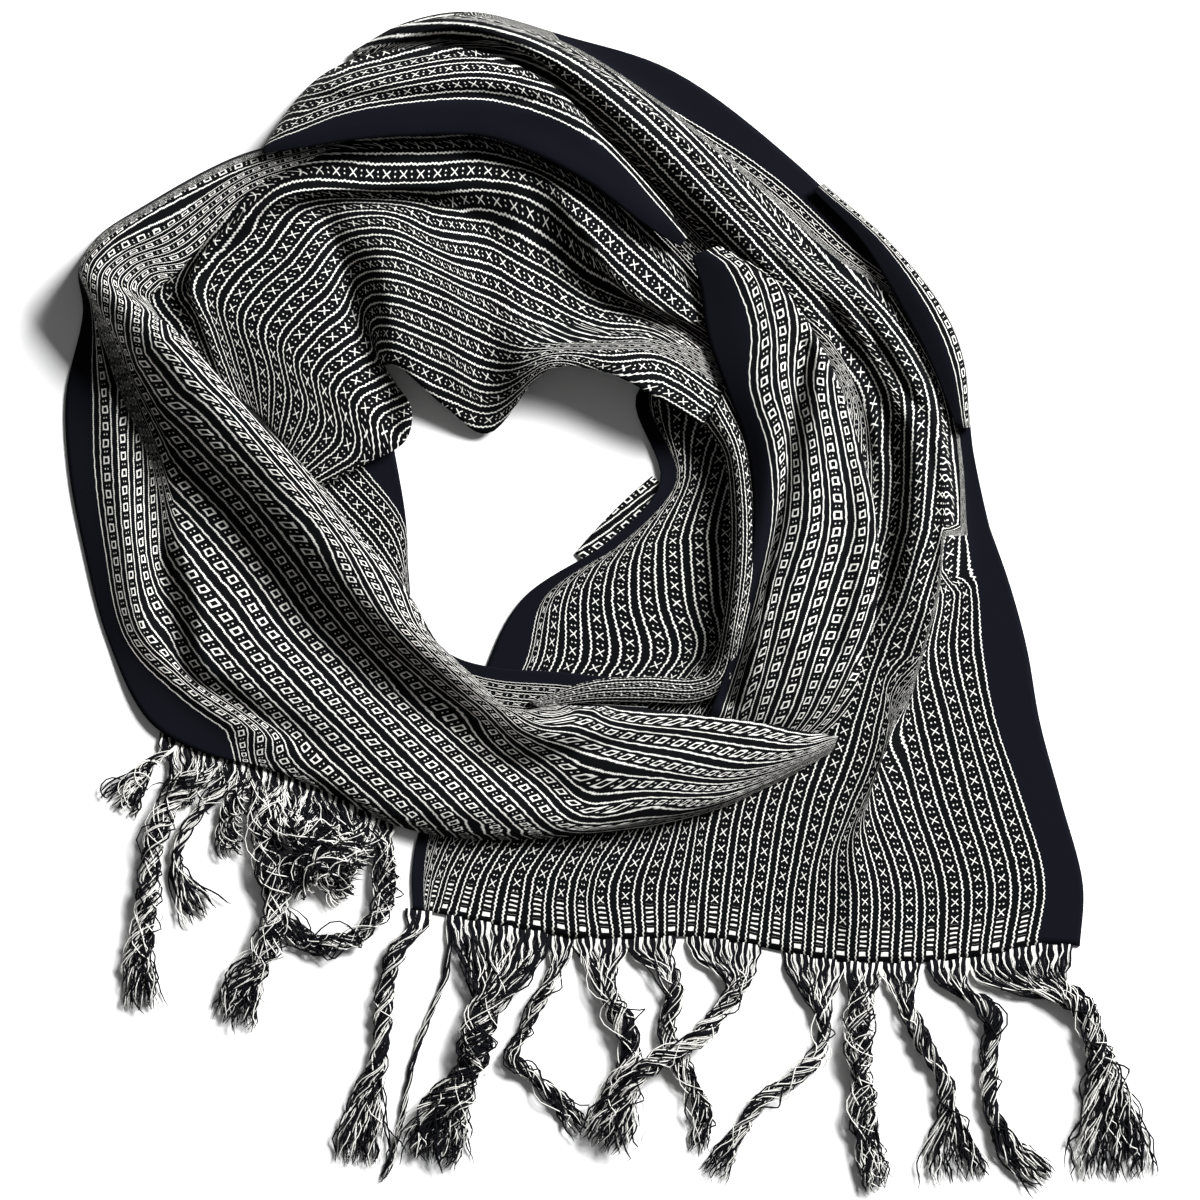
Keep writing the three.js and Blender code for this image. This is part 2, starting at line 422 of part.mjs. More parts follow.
// Tassels: path in plan units from the fringe edge, each point with how far it is lifted in millimetres where one
// tassel crosses over another; number of locks; and in millimetres the width of the roots, the neck and the tip.
const TASSELS_A = [
  { path: [[419, 918, 0], [402, 938, 0], [391, 966, 0], [384, 1008, 0], [380, 1050, 0], [366, 1104, 0], [360, 1158, 0]],
    count: 4, root: 10, neck: 12, tip: 28 },
  { path: [[450, 934, 0], [446, 974, 0], [426, 1024, 0], [412, 1066, 0], [403, 1112, 0], [394, 1150, 0]],
    count: 2, root: 4, neck: 4, tip: 4 },
  { path: [[500, 941, 0], [494, 975, 0], [482, 1020, 0], [472, 1062, 0], [446, 1110, 0], [430, 1156, 0]],
    count: 7, root: 60, neck: 22, tip: 30 },
  { path: [[562, 945, 0], [548, 985, 0], [524, 1030, 0], [512, 1056, 0], [530, 1074, 0], [556, 1096, 0], [580, 1130, 0]],
    count: 3, root: 14, neck: 8, tip: 10 },
  { path: [[600, 938, 0], [603, 972, 0], [618, 1012, 0], [632, 1046, 0], [624, 1084, 0], [610, 1138, 0]],
    count: 5, root: 28, neck: 15, tip: 28 },
  { path: [[650, 936, 0], [672, 964, 0], [674, 1000, 0], [668, 1034, 0], [680, 1064, 0], [696, 1090, 0], [704, 1118, 0],
    [698, 1146, 0]], count: 3, root: 26, neck: 8, tip: 10 },
  { path: [[724, 940, 0], [744, 972, 0], [722, 1008, 1], [700, 1036, 5], [668, 1054, 5], [640, 1072, 5], [620, 1108, 5],
    [606, 1144, 5]], count: 4, root: 36, neck: 12, tip: 22 },
  { path: [[815, 960, 0], [818, 990, 0], [824, 1020, 0], [820, 1050, 0], [798, 1075, 0], [762, 1099, 0], [736, 1136, 0],
    [715, 1172, 0]], count: 3, root: 34, neck: 8, tip: 10 },
  { path: [[862, 966, 0], [862, 1000, 0], [860, 1040, 0], [862, 1085, 0], [868, 1135, 0], [876, 1184, 0]],
    count: 5, root: 24, neck: 15, tip: 15 },
  { path: [[900, 965, 0], [906, 996, 0], [914, 1022, 0], [930, 1054, 0], [946, 1082, 0], [948, 1108, 0], [952, 1140, 0],
    [958, 1176, 0]], count: 4, root: 22, neck: 11, tip: 34 },
  { path: [[948, 960, 0], [966, 990, 0], [992, 1014, 0], [990, 1058, 0], [989, 1100, 0], [1008, 1144, 0], [1044, 1176, 0]],
    count: 4, root: 20, neck: 11, tip: 16 },
  { path: [[1020, 950, 0], [1060, 974, 0], [1084, 1008, 0], [1098, 1050, 0], [1106, 1090, 0], [1112, 1130, 0],
    [1114, 1172, 0]], count: 6, root: 50, neck: 18, tip: 44 },
];
const TASSELS_B = [
  { path: [[170, 735, 0], [152, 760, 0], [136, 784, 0], [120, 808, 0]], count: 3, root: 5, neck: 8, tip: 18 },
  { path: [[206, 747, 0], [196, 775, 0], [172, 803, 0], [156, 836, 0], [150, 872, 0], [146, 915, 0], [138, 962, 0],
    [140, 1002, 0]], count: 4, root: 14, neck: 12, tip: 16 },
  { path: [[230, 757, 0], [224, 785, 0], [202, 808, 0], [184, 834, 0], [176, 862, 0], [184, 890, 0], [202, 915, 0]],
    count: 2, root: 5, neck: 5, tip: 9 },
  { path: [[244, 762, 0], [238, 795, 0], [230, 825, 0], [232, 852, 0]], count: 2, root: 3, neck: 4, tip: 5 },
  { path: [[268, 770, 0], [262, 806, 0], [266, 850, 0], [277, 892, 0], [276, 925, 0], [262, 955, 0], [245, 985, 0],
    [232, 1018, 0]], count: 4, root: 18, neck: 12, tip: 20 },
  { path: [[304, 784, 0], [298, 815, 0], [304, 845, 0], [324, 868, 0], [350, 890, 0]], count: 3, root: 18, neck: 9, tip: 10 },
  { path: [[338, 797, 0], [336, 826, 0], [350, 846, 0], [366, 862, 0]], count: 3, root: 14, neck: 8, tip: 8 },
  { path: [[374, 812, 0], [386, 840, 0], [388, 872, 0], [384, 904, 0], [366, 930, 0], [340, 942, 0], [314, 942, 0],
    [300, 934, 0]], count: 3, root: 14, neck: 8, tip: 8 },
];

const scarf = new THREE.Group();
scarf.name = 'cotton_scarf';
scarf.add(
  stretch('outer_stretch', OUTER_STRETCH, 2, 2),
  stretch('upper_band', UPPER_BAND, 2, 2),
  stretch('turned_border', TURNED_BORDER, 2, 2, NAVY),
  stretch('interior', INTERIOR, 2, 2),
  stretch('inner_lip', INNER_LIP, 2, 2),
  stretch('front_stretch', FRONT_STRETCH, 2, 2),
  stretch('right_inner', RIGHT_INNER, 2, 2),
  stretch('under_layer', UNDER_LAYER, 2, 2),
  stretch('lower_strip', LOWER_STRIP, 2, 2),
  stretch('end_panel_b', END_PANEL_B, 2, 1),
  fringe('fringe_a', OUTER_STRETCH.fringe_edge, TASSELS_A),
  fringe('fringe_b', END_PANEL_B.fringe_edge, TASSELS_B),
);

export default scarf;
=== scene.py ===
import math

import bpy
import numpy as np
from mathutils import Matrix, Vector


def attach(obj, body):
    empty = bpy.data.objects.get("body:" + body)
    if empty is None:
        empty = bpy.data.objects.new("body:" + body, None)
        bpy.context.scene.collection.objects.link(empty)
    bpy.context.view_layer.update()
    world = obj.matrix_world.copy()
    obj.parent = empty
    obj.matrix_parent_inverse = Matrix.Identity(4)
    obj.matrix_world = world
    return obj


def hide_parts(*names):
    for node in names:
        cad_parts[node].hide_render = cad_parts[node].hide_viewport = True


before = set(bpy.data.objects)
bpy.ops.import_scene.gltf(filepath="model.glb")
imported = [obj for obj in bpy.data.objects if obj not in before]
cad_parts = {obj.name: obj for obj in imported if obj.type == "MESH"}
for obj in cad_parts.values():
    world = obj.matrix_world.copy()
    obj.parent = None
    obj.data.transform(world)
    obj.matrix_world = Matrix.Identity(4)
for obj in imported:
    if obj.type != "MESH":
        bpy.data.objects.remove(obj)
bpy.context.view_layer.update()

# The table, the light and the camera.
# A smooth white table top lit by a broad window from the upper right and an even white room.
# The camera looks straight down through a long lens, so heights hardly shift what is seen.

MM = 0.001
PLAN_UNIT = 0.625                    # millimetres in a plan unit, x right and y down
PLAN_MIDDLE = (606.0, 600.7)


def place(points):
    """Plan points (x, y, height in mm) to millimetres in the part's frame: X grows with x, Y falls with y.
    Any further number of a point is kept."""
    placed = np.array(points, float)
    placed[..., 0] = (placed[..., 0] - PLAN_MIDDLE[0]) * PLAN_UNIT
    placed[..., 1] = (PLAN_MIDDLE[1] - placed[..., 1]) * PLAN_UNIT
    return placed


def linear(code):
    """sRGB hex colour to linear RGBA: ((c + 0.055) / 1.055) ** 2.4 above 0.04045, and c / 12.92 below."""
    c = np.array([int(code[i:i + 2], 16) for i in (1, 3, 5)]) / 255
    c = np.where(c > 0.04045, ((c + 0.055) / 1.055) ** 2.4, c / 12.92)
    return (*c, 1.0)


def add(tree, kind, settings=None, **inputs):
    """Adds a node: settings are its properties, and each input is a value or another node's output."""
    made = tree.nodes.new(kind)
    for key, value in (settings or {}).items():
        setattr(made, key, value)
    for key, value in inputs.items():
        numbered = key[0] == "i" and key[1:].isdigit()
        socket = made.inputs[int(key[1:]) if numbered else key.replace("_", " ")]
        if isinstance(value, bpy.types.NodeSocket):
            tree.links.new(value, socket)
        else:
            socket.default_value = value
    return made


def new_material(name):
    """An empty node material with its output, as (material, tree, output node)."""
    material = bpy.data.materials.new(name)
    material.use_nodes = True
    tree = material.node_tree
    tree.nodes.clear()
    return material, tree, tree.nodes.new("ShaderNodeOutputMaterial")


FLOOR_SIZE = 24.0
floor_mesh = bpy.data.meshes.new("table_top")
half = FLOOR_SIZE / 2
floor_corners = [(-half, -half, 0), (half, -half, 0), (half, half, 0), (-half, half, 0)]
floor_mesh.from_pydata(floor_corners, [], [(0, 1, 2, 3)])
floor = bpy.data.objects.new("table_top", floor_mesh)
floor.location.z = -0.0002
bpy.context.scene.collection.objects.link(floor)

# Matt white laminate, pressed smooth: even and pale, with no gloss to show the lamp.
laminate, tree, out = new_material("white_laminate")
surface = add(tree, "ShaderNodeBsdfPrincipled", Base_Color=linear("#f4f4f4"), Roughness=0.8,
              Specular_IOR_Level=0.2)
tree.links.new(surface.outputs[0], out.inputs[0])
floor_mesh.materials.append(laminate)

world = bpy.data.worlds.new("room")
world.use_nodes = True
world.node_tree.nodes["Background"].inputs["Color"].default_value = (1.0, 1.0, 1.0, 1.0)
world.node_tree.nodes["Background"].inputs["Strength"].default_value = 0.12
bpy.context.scene.world = world

window = bpy.data.lights.new("window", "AREA")
window.shape = "RECTANGLE"
window.size, window.size_y = 2.6, 1.9
window.energy = 1020.0
window_object = bpy.data.objects.new("window", window)
window_object.location = (3.4, 3.0, 3.2)
window_object.rotation_euler = Vector(window_object.location).to_track_quat("Z", "Y").to_euler()
bpy.context.scene.collection.objects.link(window_object)

HEIGHT = 6.0
FIELD = 0.75                          # metres of table across the picture
lens = bpy.data.cameras.new("camera")
lens.sensor_width = 36.0
lens.lens = 36.0 * HEIGHT / FIELD
lens.clip_end = 100.0
camera = bpy.data.objects.new("camera", lens)
camera.location = ((600 - PLAN_MIDDLE[0]) * PLAN_UNIT * MM, (PLAN_MIDDLE[1] - 600) * PLAN_UNIT * MM, HEIGHT)
bpy.context.scene.collection.objects.link(camera)
bpy.context.scene.camera = camera
bpy.context.scene.view_settings.view_transform = "Standard"

# The outer stretch: the wide end panel, the right side and the top of the loop, x face up.
# Handwoven cotton, black warp with white pattern yarn, plain navy selvedges, 460 mm across the loom.
# It lies flat at the fringe and gathers into long pleats towards the top, where it rolls under its edge.

CLOTH = 1.6
STEEPEST = 1.6
OUTER_SELVEDGE = 24.0
INNER_SELVEDGE = 22.0
STRIPES = 414.1                       # width of the striped middle, selvedge to selvedge
REPEAT = 13.6                         # width of one stripe of the pattern
MOTIF_MIDDLE = 9.86                   # from the selvedge to the middle of the first motif
PICK_REPEAT = 10.6                    # length of one motif


def curve_through(points, steps):
    """Centripetal Catmull-Rom curve along axis 0, steps to a span. Knots grow by sqrt(distance); each point
    is the pyramid mix of its span's four neighbours, and the ends are mirrored. A thread number stays within
    its span."""
    line = np.concatenate([2 * points[:1] - points[1:2], points, 2 * points[-1:] - points[-2:-1]])
    distance = np.linalg.norm(np.diff(line[..., :3], axis=0), axis=-1)
    gap = np.maximum(np.sqrt(distance), 0.05)[:, None, ..., None]
    a, b, c, d = (line[k:len(line) - 3 + k, None] for k in range(4))
    t1 = gap[:-2]
    t2 = t1 + gap[1:-1]
    t3 = t2 + gap[2:]
    share = (np.arange(steps) / steps).reshape((1, steps) + (1,) * (points.ndim - 1))
    t = t1 + (t2 - t1) * share
    ab = (a * (t1 - t) + b * t) / t1
    bc = (b * (t2 - t) + c * (t - t1)) / (t2 - t1)
    cd = (c * (t3 - t) + d * (t - t2)) / (t3 - t2)
    abc = (ab * (t2 - t) + bc * t) / t2
    bcd = (bc * (t3 - t) + cd * (t - t1)) / (t3 - t1)
    curve = (abc * (t2 - t) + bcd * (t - t1)) / (t2 - t1)
    curve[..., 3:] = np.clip(curve, np.minimum(b, c), np.maximum(b, c))[..., 3:]
    return np.concatenate([curve.reshape((-1,) + points.shape[1:]), points[-1:]])


def cloth_grid(sections, across, along):
    """Underside of a stretch as an array [along, across, (x, y, z, thread)] in mm, the thread counted from
    the selvedge: curves through the points of every section first, then along every thread."""
    points = place(list(sections.values()))
    rows = np.swapaxes(curve_through(np.swapaxes(points, 0, 1), across), 0, 1)
    columns = points.shape[1]
    at = np.arange(rows.shape[1]) / across
    rows[..., 3] = [np.interp(at, np.arange(columns), threads) for threads in points[..., 3]]
    grid = curve_through(rows, along)
    grid[..., 2] = np.maximum(grid[..., 2], 0)
    return grid


def ridge(grid, line, height, width):
    """Soft ridge, or trough if height is negative, on a plan line: z += height exp(-(distance / width)^2)."""
    ends = place([(x, y, 0) for x, y in line])[:, :2]
    a, b = ends[:-1], ends[1:]
    to_point = grid[..., None, :2] - a
    share = np.clip((to_point * (b - a)).sum(-1) / ((b - a) ** 2).sum(-1), 0, 1)
    distance = np.linalg.norm(to_point - share[..., None] * (b - a), axis=-1).min(-1)
    grid[..., 2] = np.maximum(grid[..., 2] + height * np.exp(-(distance / width) ** 2), 0)


def top_side(grid, thickness):
    """Points above the underside by thickness / cos(slope), at most STEEPEST times the thickness."""
    grid = grid[..., :3]
    normal = np.cross(np.gradient(grid, axis=0), np.gradient(grid, axis=1))
    flatness = np.abs(normal[..., 2]) / np.maximum(np.linalg.norm(normal, axis=-1), 1e-9)
    top = grid.copy()
    top[..., 2] += thickness * np.minimum(1 / np.maximum(flatness, 0.1), STEEPEST)
    return top


def shell_faces(rows, columns):
    """Quads of a closed wall between two grids, outward where rows run along and columns run to the left."""
    index = np.arange(2 * rows * columns).reshape(2, rows, columns)
    under, over = index

    def quads(a, b, c, d):
        return np.stack([a, b, c, d], -1).reshape(-1, 4)
    return np.concatenate([
        quads(over[:-1, :-1], over[1:, :-1], over[1:, 1:], over[:-1, 1:]),
        quads(under[:-1, :-1], under[:-1, 1:], under[1:, 1:], under[1:, :-1]),
        quads(under[:-1, 0], under[1:, 0], over[1:, 0], over[:-1, 0]),
        quads(under[1:, -1], under[:-1, -1], over[:-1, -1], over[1:, -1]),
        quads(under[0, 1:], under[0, :-1], over[0, :-1], over[0, 1:]),
        quads(under[-1, :-1], under[-1, 1:], over[-1, 1:], over[-1, :-1]),
    ])


def cloth_piece(name, grid, selvedge, start, faces_up):
    """A stretch of cloth as a closed wall. Its UV map holds the weave's own place in metres: across from the
    end of the selvedge, and along each thread from the start. faces_up: (upper, under) materials."""
    rows, columns = grid.shape[:2]
    under, over = grid[..., :3], top_side(grid, CLOTH)
    steps = np.linalg.norm(np.diff(over, axis=0), axis=-1)
    along = start + np.concatenate([np.zeros((1, columns)), np.cumsum(steps, 0)])
    uv = np.stack([grid[..., 3] - selvedge, along], -1) * MM
    uv = np.tile(uv.reshape(-1, 2), (2, 1))
    points = np.concatenate([under.reshape(-1, 3), over.reshape(-1, 3)]) * MM
    faces = shell_faces(rows, columns)
    corner = points[faces]
    volume = sum((corner[:, 0] * np.cross(corner[:, k], corner[:, k + 1])).sum() for k in (1, 2))
    if volume < 0:
        faces = faces[:, ::-1]
    mesh = bpy.data.meshes.new(name)
    mesh.from_pydata(points.tolist(), [], faces.tolist())
    layer = mesh.uv_layers.new(name="weave")
    layer.data.foreach_set("uv", uv[faces.ravel()].astype(np.float32).ravel())
    slots = np.ones(len(faces), np.int32)
    slots[:(rows - 1) * (columns - 1)] = 0
    for material in faces_up:
        mesh.materials.append(material)
    mesh.polygons.foreach_set("material_index", slots)
    mesh.polygons.foreach_set("use_smooth", np.ones(len(faces), bool))
    mesh.update()
    piece = bpy.data.objects.new(name, mesh)
    bpy.context.scene.collection.objects.link(piece)
    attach(piece, "root")
    return piece


# Plain-weave cotton with pattern yarn floated over it: matt, dense black with soft bright white figures.
# Black warp #060709, bleached white yarn #e4e3de, and navy selvedge #0a0b12.
def woven_cotton(name, figure):
    """Cloth drawn from its own threads: chain lines beside every motif column, and in it the figure, "cross"
    or "ring", with a pair of dots between one figure and the next."""
    material, tree, out = new_material(name)
    uv = add(tree, "ShaderNodeUVMap", {"uv_map": "weave"})
    to_mm = add(tree, "ShaderNodeVectorMath", {"operation": "SCALE"}, i0=uv.outputs[0], i3=1000.0)
    # uneven hand beat: figures wander by a quarter of a millimetre
    wander = add(tree, "ShaderNodeTexNoise", {"noise_dimensions": "2D"}, Vector=to_mm.outputs[0], Scale=0.22,
                 Detail=1.0)
    centred = add(tree, "ShaderNodeVectorMath", {"operation": "SUBTRACT"}, i0=wander.outputs["Color"],
                  i1=(0.5, 0.5, 0.5))
    drift = add(tree, "ShaderNodeVectorMath", {"operation": "SCALE"}, i0=centred.outputs[0], i3=1.1)
    moved = add(tree, "ShaderNodeVectorMath", {"operation": "ADD"}, i0=to_mm.outputs[0], i1=drift.outputs[0])
    place_in = add(tree, "ShaderNodeSeparateXYZ", Vector=moved.outputs[0])
    u, v = place_in.outputs[0], place_in.outputs[1]

    def m(operation, a, b=0.0, c=0.0):
        return add(tree, "ShaderNodeMath", {"operation": operation}, i0=a, i1=b, i2=c).outputs[0]

    # s: mm from the middle of the motif column; t: mm from the middle of the figure
    columns = m("ADD", m("DIVIDE", m("SUBTRACT", u, MOTIF_MIDDLE), REPEAT), 0.5)
    s = m("MULTIPLY", m("SUBTRACT", m("FRACT", columns), 0.5), REPEAT)
    column = m("FLOOR", columns)
    shifted = m("ADD", v, m("MULTIPLY", m("SINE", m("MULTIPLY", column, 2.4)), 1.6))
    t = m("MULTIPLY", m("SUBTRACT", m("FRACT", m("DIVIDE", shifted, PICK_REPEAT)), 0.5), PICK_REPEAT)
    across, down = m("ABSOLUTE", s), m("ABSOLUTE", t)

    def inside(value, edge, soft=0.22):
        """1 where value is less than edge, falling to 0 over a soft border in mm."""
        return m("MULTIPLY_ADD", m("SUBTRACT", edge, value), 1 / soft, 0.5)

    def clamp(x):
        return add(tree, "ShaderNodeClamp", Value=x).outputs[0]

    if figure == "cross":
        wave = m("MULTIPLY", m("SINE", m("MULTIPLY", v, 2 * math.pi / 2.65)), 0.24)
        chain = inside(m("ABSOLUTE", m("SUBTRACT", m("SUBTRACT", across, 4.39), wave)), 0.41)
        stroke = inside(m("ABSOLUTE", m("SUBTRACT", m("MULTIPLY", down, 0.84), across)), 0.37)
        square = m("MINIMUM", inside(across, 1.95), inside(down, 2.3))
        shape = m("MINIMUM", stroke, square)
    else:
        beads = m("MULTIPLY", m("SINE", m("MULTIPLY", v, 2 * math.pi / 1.33)), 0.16)
        chain = inside(m("ADD", m("ABSOLUTE", m("SUBTRACT", across, 4.39)), beads), 0.39)
        outer = m("MINIMUM", inside(across, 2.2), inside(down, 2.55))
        hole = m("MINIMUM", inside(across, 1.3), inside(down, 1.6))
        shape = m("SUBTRACT", clamp(outer), clamp(hole))
    dot_across = m("MULTIPLY", m("SUBTRACT", across, 1.05), 1.25)
    dot_down = m("SUBTRACT", down, 5.3)
    dot_far = m("SQRT", m("ADD", m("POWER", dot_across, 2.0), m("POWER", dot_down, 2.0)))
    dots = inside(dot_far, 0.48)
    motif = m("MAXIMUM", clamp(shape), clamp(dots))
    # the last two centimetres before the fringe: a ladder of short bars, then one closed block
    rung = inside(m("ABSOLUTE", m("SUBTRACT", m("FRACT", m("DIVIDE", v, 3.0)), 0.5)), 0.17, 0.1)
    ladder = m("MINIMUM", clamp(rung), clamp(inside(across, 2.1)))
    block = inside(m("ABSOLUTE", m("SUBTRACT", v, 5.2)), 1.3)
    block = m("MINIMUM", clamp(block), clamp(inside(across, 2.1)))
    before = m("MAXIMUM", m("MULTIPLY", ladder, m("GREATER_THAN", v, 8.0)), block)
    in_end = m("LESS_THAN", v, 22.0)
    motif = m("ADD", m("MULTIPLY", before, in_end), m("MULTIPLY", motif, m("SUBTRACT", 1.0, in_end)))
    striped = m("MULTIPLY", m("GREATER_THAN", u, 0.0), m("LESS_THAN", u, STRIPES))
    white = m("MULTIPLY", m("MAXIMUM", motif, clamp(chain)), striped)
    # single picks show as a fine break in the white yarn and as ribs in the ground, 0.9 mm apart
    grain = add(tree, "ShaderNodeTexNoise", {"noise_dimensions": "2D"}, Vector=to_mm.outputs[0], Scale=1.3,
                Detail=2.0, Roughness=0.6)
    worn = m("MULTIPLY_ADD", grain.outputs["Fac"], 0.7, 0.52)
    white = m("MULTIPLY", white, clamp(worn))
    ground = add(tree, "ShaderNodeMix", {"data_type": "RGBA"}, i0=striped)
    ground.inputs[6].default_value = linear("#0a0b12")
    ground.inputs[7].default_value = linear("#060709")
    colour = add(tree, "ShaderNodeMix", {"data_type": "RGBA"}, i0=white)
    tree.links.new(ground.outputs[2], colour.inputs[6])
    colour.inputs[7].default_value = linear("#e4e3de")
    per_pick = 2 * math.pi / 0.9
    rib = m("MULTIPLY", m("SINE", m("MULTIPLY", v, per_pick)), m("SINE", m("MULTIPLY", u, per_pick)))
    relief = m("ADD", m("MULTIPLY", rib, 0.05), m("MULTIPLY", grain.outputs["Fac"], 0.12))
    height = m("ADD", m("MULTIPLY", white, 0.25), relief)
    bump = add(tree, "ShaderNodeBump", Strength=0.7, Distance=0.001, Height=height)
    surface = add(tree, "ShaderNodeBsdfPrincipled", Base_Color=colour.outputs[2], Roughness=0.9,
                  Specular_IOR_Level=0.06, Normal=bump.outputs[0])
    tree.links.new(surface.outputs[0], out.inputs[0])
    return material


cross_face = woven_cotton("handwoven_cotton_cross_face", "cross")
ring_face = woven_cotton("handwoven_cotton_ring_face", "ring")
CROSS_UP = (cross_face, ring_face)
RING_UP = (ring_face, cross_face)

